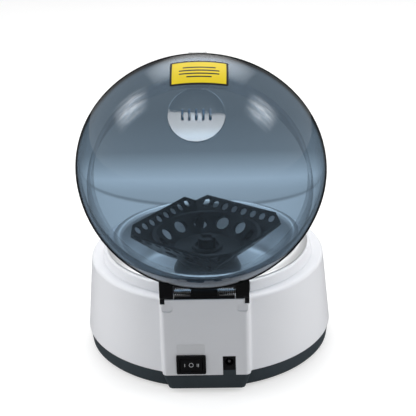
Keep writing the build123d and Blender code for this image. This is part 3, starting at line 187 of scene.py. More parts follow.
def softbox(name, place, target, size, power, softness, streaks=0.0):
    """An area lamp at a place, turned to a target; softness fades it to its edges, streaks break it up."""
    lamp = bpy.data.lights.new(name, "AREA")
    lamp.shape = "RECTANGLE"
    lamp.size, lamp.size_y = size
    lamp.energy = power
    lamp.use_nodes = True
    tree = lamp.node_tree
    face_place = tree.nodes.new("ShaderNodeNewGeometry").outputs["Parametric"]
    across = split_up(tree, face_place)
    fade = 1.0
    for side in ("X", "Y"):
        hump = calculate(tree, "SINE", calculate(tree, "MULTIPLY", across[side], pi))
        fade = calculate(tree, "MULTIPLY", fade, calculate(tree, "POWER", hump, softness))
    stretched = tree.nodes.new("ShaderNodeMapping")
    stretched.inputs["Scale"].default_value = streak_stretch
    stretched.inputs["Rotation"].default_value = (0, 0, streak_slant)
    tree.links.new(face_place, stretched.inputs["Vector"])
    streak = noise(tree, stretched.outputs["Vector"], streak_scale, 2.0, 0.6)
    broken = spread(tree, streak, 0.4, 0.62, 1.0 - streaks, 1.0)
    tree.links.new(calculate(tree, "MULTIPLY", fade, broken), tree.nodes["Emission"].inputs["Strength"])
    lamp_object = bpy.data.objects.new(name, lamp)
    aim = (Vector(target) - Vector(place)).to_track_quat("-Z", "Y").to_matrix().to_4x4()
    lamp_object.matrix_world = Matrix.Translation(Vector(place)) @ aim
    scene.collection.objects.link(lamp_object)
    return lamp_object


lid_middle = (0, 0.10, 0.19)
softbox("left_window", (0.897, -0.068, 0.892), lid_middle,
        size=(0.62, 0.66), power=10.5, softness=1.6, streaks=0.6)
softbox("right_window", (-0.872, 0.116, 0.943), lid_middle,
        size=(0.62, 0.60), power=10.0, softness=1.6, streaks=0.6)
softbox("label_softbox", (0.0, -0.45, 1.10), lid_middle, size=(1.30, 0.62), power=12.0, softness=0.8)
softbox("round_spot_strip", (0.046, 0.686, 1.275), (0, 0.13, 0.224),
        size=(0.40, 0.15), power=1.5, softness=0.02)
softbox("front_softbox", (0.0, -0.75, 0.55), (0, 0, 0.08), size=(0.80, 0.45), power=1.2, softness=0.5)

# fill lamps at the sides and behind the camera, which no shiny piece mirrors
for name, place, target, size, power in (
        ("left_fill", (0.95, 0.02, 0.30), (0, 0.02, 0.05), (0.70, 0.70), 7.0),
        ("right_fill", (-0.95, 0.02, 0.30), (0, 0.02, 0.05), (0.70, 0.70), 7.0),
        ("panel_fill", (0.0, 1.3, 0.12), (0, 0.09, 0.03), (0.60, 0.40), 0.3)):
    hide_from(softbox(name, place, target, size, power, softness=0.5), "glossy", "transmission")

# small unseen lamps under the rotor stand for the light that the bright bowl gathers
bounce_count = 5
bounce_step = radians(32)
bounce_reach = 48 * mm
bounce_height = 56 * mm
bounce_power = 0.012
bounce_size = 6 * mm
for k in range(bounce_count):
    angle = radians(270) + bounce_step * (k - (bounce_count - 1) / 2)
    bounce = bpy.data.lights.new("bowl_bounce_%d" % (k + 1), "POINT")
    bounce.energy = bounce_power
    bounce.shadow_soft_size = bounce_size
    bounce_object = bpy.data.objects.new(bounce.name, bounce)
    bounce_object.location = (bounce_reach * cos(angle), bounce_reach * sin(angle), bounce_height)
    hide_from(bounce_object, "camera", "glossy", "transmission")
    scene.collection.objects.link(bounce_object)

# the surround is one level for each kind of ray
world = bpy.data.worlds.new("studio_surround")
world.use_nodes = True
scene.world = world
tree = world.node_tree
path = tree.nodes.new("ShaderNodeLightPath")
direction = split_up(tree, tree.nodes.new("ShaderNodeTexCoord").outputs["Generated"])
reflected = spread(tree, direction["Y"], -0.2, 0.7, surround_shine_far, surround_shine_near)
level = surround_light
for rays, strength in (("Is Glossy Ray", reflected), ("Is Transmission Ray", surround_seen_through),
                       ("Is Camera Ray", 1.0)):
    chosen = tree.nodes.new("ShaderNodeMix")
    tree.links.new(path.outputs[rays], chosen.inputs["Factor"])
    for socket, value in (("A", level), ("B", strength)):
        if isinstance(value, float):
            chosen.inputs[socket].default_value = value
        else:
            tree.links.new(value, chosen.inputs[socket])
    level = chosen.outputs["Result"]
tree.links.new(level, tree.nodes["Background"].inputs["Strength"])
tree.nodes["Background"].inputs["Color"].default_value = (1.0, 1.0, 1.0, 1.0)

# the table glows for the camera, so that it stays white under the soft shadows; through the lid it carries
# painted
# light: a lit sheet with a painted dark lip at its near edge, and a painted falloff that dims farther away
table_mesh = bpy.data.meshes.new("studio_table")
half = table_size / 2
table_corners = [(-half, -half, 0), (half, -half, 0), (half, half, 0), (-half, half, 0)]
table_mesh.from_pydata(table_corners, [], [(0, 1, 2, 3)])
table = bpy.data.objects.new("studio_table", table_mesh)
scene.collection.objects.link(table)
table_paper, tree, paper = new_material("studio_table_paper")
paper.inputs["Roughness"].default_value = 0.9
paper.inputs["Specular IOR Level"].default_value = 0.0
paper.inputs["Emission Color"].default_value = (1, 1, 1, 1)
path = tree.nodes.new("ShaderNodeLightPath")
spot = split_up(tree, tree.nodes.new("ShaderNodeTexCoord").outputs["Object"])
bend = calculate(tree, "MULTIPLY", calculate(tree, "MULTIPLY", spot["X"], spot["X"]), sheet_edge_bend)
nearer = calculate(tree, "ADD", spot["Y"], bend)
glow_low, glow_high = table_glow_seen_through[0][0], table_glow_seen_through[-1][0]
glow_stops = [((distance - glow_low) / (glow_high - glow_low), level)
              for distance, level in table_glow_seen_through]
# painted light: the glow seen through the lid falls off with distance
beyond = ramp(tree, spread(tree, spot["Y"], glow_low, glow_high, 0.0, 1.0), glow_stops)
on_sheet = spread(tree, nearer, sheet_edge - sheet_edge_blur, sheet_edge + sheet_edge_blur, 0.0, 1.0)
sheet = calculate(tree, "MAXIMUM", calculate(tree, "MULTIPLY", on_sheet, sheet_glow), beyond)
from_edge = calculate(tree, "ABSOLUTE", calculate(tree, "SUBTRACT", nearer, sheet_edge))
# painted shade: a dark lip along the sheet's near edge
lip = spread(tree, from_edge, sheet_edge_blur, sheet_lip_width, sheet_lip_shade, 1.0)
lit = calculate(tree, "MULTIPLY", sheet, lip)
through = calculate(tree, "MULTIPLY", lit, path.outputs["Is Transmission Ray"])
mirrored = calculate(tree, "MULTIPLY", path.outputs["Is Glossy Ray"], table_shine)
looked = calculate(tree, "MULTIPLY", path.outputs["Is Camera Ray"], table_glow)
glow = calculate(tree, "MAXIMUM", looked, calculate(tree, "MAXIMUM", through, mirrored))
tree.links.new(glow, paper.inputs["Emission Strength"])
shade = colour_mix(tree, path.outputs["Is Glossy Ray"], (table_shade,) * 3, (table_shine,) * 3)
tree.links.new(shade, paper.inputs["Base Color"])
table_mesh.materials.append(table_paper)

# Base tray: a dark grey moulded shell with a rear flat, four rubber feet pushed into recesses under
# it and four screws that come up through it into the housing. Its skin has a fine spark-eroded grain.


def group_tree(name, sockets):
    """An empty shader node group with named number inputs and named outputs, and its two ends."""
    tree = bpy.data.node_groups.new(name, "ShaderNodeTree")
    for label, way, kind, value in sockets:
        socket = tree.interface.new_socket(name=label, in_out=way, socket_type=kind)
        if way == "INPUT":
            socket.default_value = value
    return tree, tree.nodes.new("NodeGroupInput"), tree.nodes.new("NodeGroupOutput")


# moulded_skin: a moulded surface's grain, its slow gloss changes and the dust that settles on it
skin_tree, skin_in, skin_out = group_tree("moulded_skin", (
    ("Grain Scale", "INPUT", "NodeSocketFloat", 2400.0),
    ("Roughness Low", "INPUT", "NodeSocketFloat", 0.3),
    ("Roughness High", "INPUT", "NodeSocketFloat", 0.45),
    ("Dust", "INPUT", "NodeSocketFloat", 0.1),
    ("Height", "OUTPUT", "NodeSocketFloat", 0),
    ("Roughness", "OUTPUT", "NodeSocketFloat", 0),
    ("Dust Mask", "OUTPUT", "NodeSocketFloat", 0),
    ("Shade", "OUTPUT", "NodeSocketFloat", 0),
))
place = skin_tree.nodes.new("ShaderNodeTexCoord").outputs["Object"]
grain = noise(skin_tree, place, skin_in.outputs["Grain Scale"], 3.0, 0.6)
drift = noise(skin_tree, place, 28.0, 4.0, 0.6)
specks = noise(skin_tree, place, 900.0, 2.0, 0.7)
facing = split_up(skin_tree, skin_tree.nodes.new("ShaderNodeNewGeometry").outputs["Normal"])
upward = spread(skin_tree, facing["Z"], 0.2, 1.0, 0.15, 1.0)
dusty = calculate(skin_tree, "MULTIPLY", spread(skin_tree, specks, 0.56, 0.74, 0.0, 1.0), upward)
dust_mask = calculate(skin_tree, "MULTIPLY", dusty, skin_in.outputs["Dust"])
skin_tree.links.new(grain, skin_out.inputs["Height"])
skin_tree.links.new(
    spread(skin_tree, drift, 0.35, 0.7, skin_in.outputs["Roughness Low"], skin_in.outputs["Roughness High"]),
    skin_out.inputs["Roughness"])
skin_tree.links.new(dust_mask, skin_out.inputs["Dust Mask"])
skin_tree.links.new(spread(skin_tree, drift, 0.3, 0.75, 0.0, 1.0), skin_out.inputs["Shade"])


dust_colour = (0.55, 0.54, 0.52)


def soft_bump(tree, height, strength, depth, edge):
    """A normal that carries a bump of some depth, with edges that look rounded to a radius."""
    soft_edge = tree.nodes.new("ShaderNodeBevel")
    soft_edge.samples = 4
    soft_edge.inputs["Radius"].default_value = edge
    bump = tree.nodes.new("ShaderNodeBump")
    bump.inputs["Strength"].default_value = strength
    bump.inputs["Distance"].default_value = depth
    tree.links.new(height, bump.inputs["Height"])
    tree.links.new(soft_edge.outputs["Normal"], bump.inputs["Normal"])
    return bump.outputs["Normal"]


def moulded(name, colour, shade_colour, roughness, grain, dust, edge, coat=0.0, shine=0.5):
    """A moulded plastic or rubber: two close shades, grain of a scale and depth, changing gloss and dust."""
    material, tree, shader = new_material(name)
    surface = tree.nodes.new("ShaderNodeGroup")
    surface.node_tree = skin_tree
    surface.inputs["Grain Scale"].default_value, grain_depth = grain
    surface.inputs["Roughness Low"].default_value, surface.inputs["Roughness High"].default_value = roughness
    surface.inputs["Dust"].default_value = dust
    clean = colour_mix(tree, surface.outputs["Shade"], colour, shade_colour)
    dusted = colour_mix(tree, surface.outputs["Dust Mask"], clean, dust_colour)
    tree.links.new(dusted, shader.inputs["Base Color"])
    tree.links.new(surface.outputs["Roughness"], shader.inputs["Roughness"])
    shader.inputs["Coat Weight"].default_value = coat
    shader.inputs["Specular IOR Level"].default_value = shine
    shader.inputs["Coat Roughness"].default_value = 0.12
    normal = soft_bump(tree, surface.outputs["Height"], 0.35, grain_depth, edge)
    tree.links.new(normal, shader.inputs["Normal"])
    return material


def dress(node, material):
    """Gives a CAD node its material."""
    cad[node].data.materials.clear()
    cad[node].data.materials.append(material)


base_plastic = moulded(
    "dark_base_plastic", (0.044, 0.058, 0.068), (0.038, 0.050, 0.059),
    roughness=(0.40, 0.52), grain=(2600.0, 0.05 * mm), dust=0.05, edge=0.5 * mm, shine=0.35)
foot_rubber = moulded(
    "foot_rubber", (0.018, 0.018, 0.019), (0.026, 0.026, 0.026),
    roughness=(0.7, 0.85), grain=(1800.0, 0.08 * mm), dust=0.25, edge=0.3 * mm)
dress("base_tray", base_plastic)
dress("feet", foot_rubber)

# Drive: a small can motor on a steel plate, hung on three rubber bushings over posts of the base,
# with ball bearings, a wound armature and a turned steel adaptor pressed on its shaft.

# machined_face: fine tool lines round the spindle, with uneven gloss
machined_tree, machined_in, machined_out = group_tree("machined_face", (
    ("Line Scale", "INPUT", "NodeSocketFloat", 1600.0),
    ("Roughness Low", "INPUT", "NodeSocketFloat", 0.22),
    ("Roughness High", "INPUT", "NodeSocketFloat", 0.38),
    ("Height", "OUTPUT", "NodeSocketFloat", 0),
    ("Roughness", "OUTPUT", "NodeSocketFloat", 0),
    ("Shade", "OUTPUT", "NodeSocketFloat", 0),
))
place = machined_tree.nodes.new("ShaderNodeTexCoord").outputs["Object"]
split = split_up(machined_tree, place)
square_x = calculate(machined_tree, "MULTIPLY", split["X"], split["X"])
square_y = calculate(machined_tree, "MULTIPLY", split["Y"], split["Y"])
reach = calculate(machined_tree, "SQRT", calculate(machined_tree, "ADD", square_x, square_y))
ring_place = machined_tree.nodes.new("ShaderNodeCombineXYZ")
machined_tree.links.new(reach, ring_place.inputs["X"])
machined_tree.links.new(split["Z"], ring_place.inputs["Y"])
rings = noise(machined_tree, ring_place.outputs[0], machined_in.outputs["Line Scale"], 2.0, 0.7)
cloud = noise(machined_tree, place, 45.0, 3.0, 0.6)
machined_tree.links.new(rings, machined_out.inputs["Height"])
machined_tree.links.new(
    spread(machined_tree, calculate(machined_tree, "MULTIPLY", rings, cloud), 0.12, 0.42,
           machined_in.outputs["Roughness Low"], machined_in.outputs["Roughness High"]),
    machined_out.inputs["Roughness"])
machined_tree.links.new(spread(machined_tree, rings, 0.3, 0.7, 0.0, 1.0), machined_out.inputs["Shade"])


def metal(name, colour, shade_colour, roughness, lines, edge, metallic=1.0):
    """A bare or plated metal with tool lines of a scale and depth round the spindle, its edges broken."""
    material, tree, shader = new_material(name)
    shader.inputs["Metallic"].default_value = metallic
    face = tree.nodes.new("ShaderNodeGroup")
    face.node_tree = machined_tree
    face.inputs["Line Scale"].default_value, line_depth = lines
    face.inputs["Roughness Low"].default_value, face.inputs["Roughness High"].default_value = roughness
    tree.links.new(colour_mix(tree, face.outputs["Shade"], colour, shade_colour), shader.inputs["Base Color"])
    tree.links.new(face.outputs["Roughness"], shader.inputs["Roughness"])
    tree.links.new(soft_bump(tree, face.outputs["Height"], 0.3, line_depth, edge), shader.inputs["Normal"])
    return material


steel = metal(
    "turned_steel", (0.56, 0.57, 0.58), (0.48, 0.49, 0.50),
    roughness=(0.2, 0.36), lines=(1900.0, 0.02 * mm), edge=0.12 * mm)
zinc = metal(
    "zinc_plated_steel", (0.60, 0.62, 0.65), (0.52, 0.54, 0.57),
    roughness=(0.26, 0.42), lines=(700.0, 0.02 * mm), edge=0.2 * mm)
brass = metal(
    "brass", (0.80, 0.60, 0.28), (0.70, 0.50, 0.22),
    roughness=(0.22, 0.35), lines=(1500.0, 0.01 * mm), edge=0.1 * mm)
copper = metal(
    "varnished_windings", (0.55, 0.22, 0.08), (0.32, 0.11, 0.04),
    roughness=(0.25, 0.5), lines=(900.0, 0.25 * mm), edge=0.2 * mm)
for node in ("motor_can", "motor_plate", "base_screws", "plate_screws", "motor_screws", "hinge_block_screws",
             "latch_screws", "board_screws"):
    dress(node, zinc)
for node in ("motor_shaft", "motor_bearings"):
    dress(node, steel)
black_steel = metal(
    "blackened_steel", (0.030, 0.030, 0.032), (0.02, 0.02, 0.021),
    roughness=(0.3, 0.45), lines=(1900.0, 0.02 * mm), edge=0.12 * mm)
dress("drive_adaptor", black_steel)
dress("motor_armature", copper)
dress("motor_bushings", foot_rubber)

# Circuit board: green laminate screwed to four bosses of the base, with two capacitors, two plug
# housings and a control chip soldered on it.
laminate = moulded(
    "board_laminate", (0.012, 0.12, 0.05), (0.02, 0.17, 0.07),
    roughness=(0.25, 0.4), grain=(1500.0, 0.02 * mm), dust=0.1, edge=0.1 * mm, coat=0.4)
component_black = moulded(
    "component_black", (0.012, 0.012, 0.013), (0.02, 0.02, 0.021),
    roughness=(0.35, 0.5), grain=(2000.0, 0.02 * mm), dust=0.1, edge=0.15 * mm)
plug_nylon = moulded(
    "plug_nylon", (0.75, 0.73, 0.66), (0.68, 0.66, 0.6),
    roughness=(0.35, 0.5), grain=(1500.0, 0.02 * mm), dust=0.1, edge=0.15 * mm)
dress("circuit_board", laminate)
dress("board_capacitors", component_black)
dress("control_chip", component_black)
dress("board_connectors", plug_nylon)

# Upper housing: one white gloss moulding with a leaning wall, a ledge, a collar and a flat rear
# panel; it drops over the base's lip. A small foil plate is stuck over the rocker.
white_plastic = moulded(
    "white_housing_plastic", (0.77, 0.78, 0.81), (0.762, 0.772, 0.803),
    roughness=(0.30, 0.34), grain=(3000.0, 0.02 * mm), dust=0.02, edge=0.6 * mm, coat=0.1)
foil = moulded(
    "plate_foil", (0.70, 0.71, 0.73), (0.66, 0.67, 0.69),
    roughness=(0.3, 0.42), grain=(1200.0, 0.01 * mm), dust=0.05, edge=0.1 * mm)
dress("upper_housing", white_plastic)
dress("rating_plate", foil)

# Rocker switch and power inlet: black thermoplastic snapped into the rear panel, with brass
# terminals behind. The rocker's positions are pad-printed in white.
switch_black = moulded(
    "switch_black", (0.006, 0.006, 0.007), (0.009, 0.009, 0.010),
    roughness=(0.34, 0.46), grain=(2600.0, 0.02 * mm), dust=0.03, edge=0.25 * mm, shine=0.3)
for node in ("rocker_frame", "rocker_button", "inlet_body"):
    dress(node, switch_black)
for node in ("switch_terminals", "inlet_lugs"):
    dress(node, brass)
dress("inlet_pin", steel)

# the printed positions on the rocker's dished face: a bar, a ring and a double bar
pad_white = moulded(
    "pad_print_white", (0.66, 0.67, 0.69), (0.60, 0.61, 0.63),
    roughness=(0.4, 0.55), grain=(2200.0, 0.01 * mm), dust=0.05, edge=0.02 * mm)
rocker_place = Vector(joints["rocker_tilt"]["pos_m"])
sight_start = 0.2
print_proud = 0.06 * mm
print_stroke = 0.36 * mm
print_steps = 40
print_bar = (0.0, 1.3 * mm)
print_ring = (1.45 * mm, 1.55 * mm)
print_marks = ((4.6 * mm, print_bar), (0.0, print_ring), (-4.2 * mm, print_bar), (-5.2 * mm, print_bar))
button = cad["rocker_button"]
button_face = BVHTree.FromPolygons([button.matrix_world @ corner.co for corner in button.data.vertices],
                                   [face.vertices for face in button.data.polygons])
points, faces = [], []
for x, (half_width, half_height) in print_marks:
    first = len(points)
    for step in range(print_steps):
        turn = 2 * pi * step / print_steps
        if half_width:
            edges = [((half_width + half_stroke) * cos(turn), (half_height + half_stroke) * sin(turn))
                     for half_stroke in (-print_stroke / 2, print_stroke / 2)]
        else:
            end = half_height - print_stroke / 2 if sin(turn) > 0 else print_stroke / 2 - half_height
            edges = [(0.0, end), (print_stroke / 2 * cos(turn), end + print_stroke / 2 * sin(turn))]
        for across, up in edges:
            sight = Vector((rocker_place.x + x + across, sight_start, rocker_place.z + up))
            spot = button_face.ray_cast(sight, Vector((0, -1, 0)))[0]
            points.append(spot + Vector((0, print_proud, 0)))
    for step in range(print_steps):
        after = (step + 1) % print_steps
        faces.append((first + 2 * step, first + 2 * step + 1, first + 2 * after + 1, first + 2 * after))
print_mesh = bpy.data.meshes.new("rocker_print")
print_mesh.from_pydata(points, [], faces)
print_mesh.materials.append(pad_white)
piece = bpy.data.objects.new("rocker_print", print_mesh)
scene.collection.objects.link(piece)
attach(piece, "rocker")

# Chamber bowl: aluminium sheet spun over a former, so fine rings run round it, with a rolled flange
# on the collar. A rubber seal closes its hole round the shaft.
bowl_turns = 256
bowl_sheet = 1.2 * mm
bowl_rolled_edge = 0.35 * bowl_sheet
bowl_corners = ((9.0 * mm, 44.0 * mm, 0), (60.0 * mm, 44.0 * mm, 10.0 * mm), (67.0 * mm, 78.5 * mm, 1.2 * mm),
                (69.8 * mm, 80.7 * mm, 2.4 * mm), (74.9 * mm, 78.75 * mm, 0))


def skin(name, loops, first=None, last=None):
    """A mesh of quads between closed loops of points, its ends closed to a point where one is given."""
    count = len(loops[0])
    points = [point for loop in loops for point in loop]
    faces = []
    for row in range(len(loops) - 1):
        for step in range(count):
            after = (step + 1) % count
            faces.append((row * count + step, row * count + after, (row + 1) * count + after,
                          (row + 1) * count + step))
    for end, row, turn in ((first, 0, 1), (last, len(loops) - 1, -1)):
        if end is not None:
            points.append(end)
            for step in range(count):
                face = (row * count + (step + 1) % count, row * count + step, len(points) - 1)
                faces.append(face[::turn])
    mesh = bpy.data.meshes.new(name)
    mesh.from_pydata(points, [], faces)
    shape = bmesh.new()
    shape.from_mesh(mesh)
    bmesh.ops.remove_doubles(shape, verts=shape.verts, dist=0.000001)
    bmesh.ops.recalc_face_normals(shape, faces=shape.faces)
    shape.to_mesh(mesh)
    shape.free()
    mesh.shade_smooth()
    mesh.set_sharp_from_angle(angle=radians(40))
    piece = bpy.data.objects.new(name, mesh)
    scene.collection.objects.link(piece)
    return piece


def ring(radius, height, turns):
    """A level loop of points round the spindle's axis."""
    angles = [2 * pi * k / turns for k in range(turns)]
    return [Vector((radius * cos(angle), radius * sin(angle), height)) for angle in angles]


def rounded_line(corners, steps):
    """A line of distances and heights through corners, each turned on an arc of its own radius."""
    line = [Vector(corners[0][:2])]
    for before, here, after in zip(corners, corners[1:], corners[2:]):
        corner = Vector(here[:2])
        back_way = (Vector(before[:2]) - corner).normalized()
        on_way = (Vector(after[:2]) - corner).normalized()
        half_angle = back_way.angle(on_way) / 2
        start = corner + back_way * here[2] / tan(half_angle)
        centre = corner + (back_way + on_way).normalized() * here[2] / sin(half_angle)
        sweep = pi - 2 * half_angle
        turn = 1 if back_way.x * on_way.y - back_way.y * on_way.x < 0 else -1
        for step in range(steps + 1):
            angle = turn * sweep * step / steps
            line.append(centre + Matrix.Rotation(angle, 2) @ (start - centre))
    line.append(Vector(corners[-1][:2]))
    return line


upper_line = rounded_line(bowl_corners, 14)
lower_line = []
for place, point in enumerate(upper_line):
    way = upper_line[min(place + 1, len(upper_line) - 1)] - upper_line[max(place - 1, 0)]
    lower_line.append(point + Vector((way.y, -way.x)).normalized() * bowl_sheet)
edge_out = (upper_line[-1] - upper_line[-2]).normalized() * bowl_rolled_edge
rolled = [upper_line[-1].lerp(lower_line[-1], part) + edge_out for part in (0.25, 0.75)]
section = upper_line + rolled + lower_line[::-1] + upper_line[:1]
bowl = skin("spun_bowl", [ring(point.x, point.y, bowl_turns) for point in section])
spun_sheet = metal(
    "spun_sheet", (0.86, 0.87, 0.88), (0.78, 0.79, 0.80),
    roughness=(0.34, 0.46), lines=(1100.0, 0.02 * mm), edge=0.2 * mm, metallic=0.9)
bowl.data.materials.append(spun_sheet)
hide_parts("chamber_bowl")
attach(bowl, "base")
dress("shaft_seal", foot_rubber)

# Rotor: one black nylon moulding, a square funnel with rows of small holes for tube strips, twelve
# round holes, a split collet in the middle and a bell below. It snaps over the drive adaptor.
rotor_nylon = moulded(
    "rotor_nylon", (0.004, 0.004, 0.005), (0.006, 0.006, 0.007),
    roughness=(0.36, 0.46), grain=(2200.0, 0.02 * mm), dust=0.02, edge=0.35 * mm, shine=0.25)
dress("rotor", rotor_nylon)

# Hinge: two black arms bonded to the lid turn on a steel shaft in a black block screwed to the
# housing. Wound springs on the shaft help the lid up, and a dark strip lies in the collar before it.
hinge_black = moulded(
    "hinge_black", (0.005, 0.005, 0.006), (0.008, 0.008, 0.009),
    roughness=(0.32, 0.44), grain=(2400.0, 0.02 * mm), dust=0.03, edge=0.3 * mm, shine=0.3)
spring_steel = metal(
    "spring_wire", (0.62, 0.62, 0.62), (0.52, 0.52, 0.52),
    roughness=(0.18, 0.3), lines=(1200.0, 0.01 * mm), edge=0.05 * mm)
for node in ("hinge_arm_left", "hinge_arm_right", "hinge_block", "hinge_cover"):
    dress(node, hinge_black)
dress("hinge_shaft", steel)
for node in ("hinge_spring_left", "hinge_spring_right", "latch_spring"):
    dress(node, spring_steel)

# Lid: a smoke-tinted clear dome pressed from one sheet, with a turned-in rim, a moulded skirt inside it
# and a flat round spot with finger ribs. It is built shut and then turned open about the hinge, as the
# frame has it.
hinge_place = Vector(joints["lid_hinge"]["pos_m"])
open_angle = radians(joints["lid_hinge"]["range_deg"][1])
to_hinge = Matrix.Translation(hinge_place)
shut_to_open = to_hinge @ Matrix.Rotation(-open_angle, 4, "X") @ to_hinge.inverted()
rim_height = 70.3 * mm
rim_radius = 85.0 * mm
dome_rise = 71.4 * mm
dome_wall = 3.0 * mm
rim_round = 0.8 * mm
rim_step = 0.3 * mm
rim_corner = 0.4 * mm
rim_inset = 0.05 * mm
press_angle = radians(44.6)
press_radius = 18.4 * mm
press_recess = 1.0 * mm
press_edge = 0.35 * mm
dome_turns = 256
dome_rows = 56
outer_radius = (rim_radius ** 2 + dome_rise ** 2) / (2 * dome_rise)
inner_radius = outer_radius - dome_wall
dome_centre = rim_height + dome_rise - outer_radius
press_out = Vector((0, -sin(press_angle), cos(press_angle)))
dome_middle = Vector((0, 0, dome_centre))

# outer face: rows from the round spot's edge to the rim, each point on a great circle between them
edge_angle = asin(press_radius / outer_radius)
rim_polar = acos((rim_height + rim_round - dome_centre) / outer_radius)
rim_ways = ring(sin(rim_polar), cos(rim_polar), dome_turns)
outer_rows = []
for row in range(dome_rows + 1):
    loop = []
    for way in rim_ways:
        whole = acos(press_out.dot(way))
        angle = edge_angle + (whole - edge_angle) * row / dome_rows
        direction = (press_out * sin(whole - angle) + way * sin(angle)) / sin(whole)
        loop.append(dome_middle + direction * outer_radius)
    outer_rows.append(loop)
press_height = outer_radius - press_recess
press_rows = []
for share in (0.35, 0.7, 0.94, 1):
    flat_radius = press_radius * share - (press_edge if share == 1 else 0)
    loop = []
    for point in outer_rows[0]:
        across = (point - dome_middle) - press_out * (point - dome_middle).dot(press_out)
        loop.append(dome_middle + press_out * press_height + across.normalized() * flat_radius)
    press_rows.append(loop)
press_rows.append([point + press_out * (press_height - press_edge - outer_radius * cos(edge_angle))
                   for point in outer_rows[0]])
rim_inside = sqrt(inner_radius ** 2 - (rim_height - dome_centre) ** 2)
rim_rows = [ring(radius, height, dome_turns) for radius, height in (
    (rim_radius - rim_inset, rim_height + rim_step), (rim_radius - rim_corner, rim_height),
    (rim_inside + rim_corner, rim_height), (rim_inside + rim_inset, rim_height + rim_step))]
inner_rows = []
inner_polar = acos((rim_height + rim_round - dome_centre) / inner_radius)
for row in range(dome_rows):
    polar = inner_polar * (1 - row / dome_rows)
    inner_rows.append(ring(inner_radius * sin(polar), dome_centre + inner_radius * cos(polar), dome_turns))
dome = skin("lid_dome_clear", press_rows + outer_rows + rim_rows + inner_rows,
            first=dome_middle + press_out * press_height, last=Vector((0, 0, dome_centre + inner_radius)))
dome.data.transform(shut_to_open)

# smoke: a tint, deeper where the wall is seen aslant, partly since the sight line then runs a longer way
# through it and partly as painted shade; the turned rim and the edges seen edge-on are painted near black, a
# painted dark outline
smoke_tint = (0.36, 0.475, 0.59)
smoke_rim_painted_shade = (0.05, 0.07, 0.09)
smoke_rim_fade = (1.0 * mm, 5.0 * mm)
smoke_depth_tint = (0.24, 0.42, 0.54)
smoke_density = 90.0
smoke_shadow = (0.74, 0.79, 0.83)
slant_tints_and_shade = ((0.0, 1.0), (0.56, 1.0), (0.66, 0.66), (0.72, 0.50), (0.80, 0.36), (0.84, 0.10))
edge_on_slant = (0.79, 0.86)
edge_on_rim = (1.4 * mm, 2.4 * mm)
painted_edge_black = (0.006, 0.007, 0.008)
smoke, tree, shader = new_material("smoke_clear_plastic")
shader.inputs["Transmission Weight"].default_value = 1.0
shader.inputs["IOR"].default_value = 1.49
absorption = tree.nodes.new("ShaderNodeVolumeAbsorption")
absorption.inputs["Color"].default_value = (*smoke_depth_tint, 1)
absorption.inputs["Density"].default_value = smoke_density
tree.links.new(absorption.outputs["Volume"], tree.nodes["Material Output"].inputs["Volume"])
place = tree.nodes.new("ShaderNodeTexCoord").outputs["Object"]
haze = noise(tree, place, 60.0, 4.0, 0.6)
tree.links.new(spread(tree, haze, 0.3, 0.8, 0.01, 0.05), shader.inputs["Roughness"])
rim_way = (shut_to_open.to_3x3() @ Vector((0, 0, 1))).normalized()
rim_spot = shut_to_open @ Vector((0, 0, rim_height))
from_rim = tree.nodes.new("ShaderNodeVectorMath")
from_rim.operation = "DOT_PRODUCT"
tree.links.new(place, from_rim.inputs[0])
from_rim.inputs[1].default_value = rim_way
depth = calculate(tree, "SUBTRACT", from_rim.outputs["Value"], rim_spot.dot(rim_way))
slant = tree.nodes.new("ShaderNodeLayerWeight")
slant.inputs["Blend"].default_value = 0.5
tinted = tree.nodes.new("ShaderNodeMix")
tinted.data_type = "RGBA"
tinted.blend_type = "MULTIPLY"
tinted.inputs["Factor"].default_value = 1.0
# painted shade: the colour goes near black toward the rim
rim_share = spread(tree, depth, *smoke_rim_fade, 0.0, 1.0)
tree.links.new(colour_mix(tree, rim_share, smoke_rim_painted_shade, smoke_tint), tinted.inputs["A"])
tree.links.new(ramp(tree, slant.outputs["Facing"], slant_tints_and_shade), tinted.inputs["B"])
tree.links.new(tinted.outputs["Result"], shader.inputs["Base Color"])
# painted shade: a near-black diffuse takes over where the wall is seen edge-on and at the rim
aslant = spread(tree, slant.outputs["Facing"], *edge_on_slant, 0.0, 1.0)
at_rim = spread(tree, depth, *edge_on_rim, 0.9, 0.0)
edge_on = tree.nodes.new("ShaderNodeBsdfDiffuse")
edge_on.inputs["Color"].default_value = (*painted_edge_black, 1)
see_through = tree.nodes.new("ShaderNodeBsdfTransparent")
see_through.inputs["Color"].default_value = (*smoke_shadow, 1)
looks = shader.outputs["BSDF"]
for share, other in ((calculate(tree, "MAXIMUM", aslant, at_rim), edge_on),
                     (tree.nodes.new("ShaderNodeLightPath").outputs["Is Shadow Ray"], see_through)):
    joined = tree.nodes.new("ShaderNodeMixShader")
    tree.links.new(share, joined.inputs["Fac"])
    tree.links.new(looks, joined.inputs[1])
    tree.links.new(other.outputs["BSDF"], joined.inputs[2])
    looks = joined.outputs["Shader"]
tree.links.new(looks, tree.nodes["Material Output"].inputs["Surface"])
dome.data.materials.append(smoke)
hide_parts("lid_dome")
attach(dome, "lid")
dress("lid_magnet", steel)

# skirt: a thin clear wall that reaches down inside the rim, so that only its edges show
skirt_radius = 73.0 * mm
skirt_wall = 2.2 * mm
skirt_start = 11.5 * mm
skirt_edge = 0.4 * mm
skirt_gap = 0.1 * mm
skirt_foot = rim_height + skirt_start
skirt_inside = skirt_radius - skirt_wall
outer_top, inner_top = [dome_centre + sqrt(inner_radius ** 2 - radius ** 2) - skirt_gap
                        for radius in (skirt_radius, skirt_inside)]
skirt_loops = [ring(radius, height, dome_turns) for radius, height in (
    (skirt_radius, outer_top), (skirt_radius, skirt_foot + skirt_edge),
    (skirt_radius - skirt_edge, skirt_foot), (skirt_inside + skirt_edge, skirt_foot),
    (skirt_inside, skirt_foot + skirt_edge), (skirt_inside, inner_top))]
skirt = skin("lid_skirt", skirt_loops + skirt_loops[:1])
skirt.data.transform(shut_to_open)


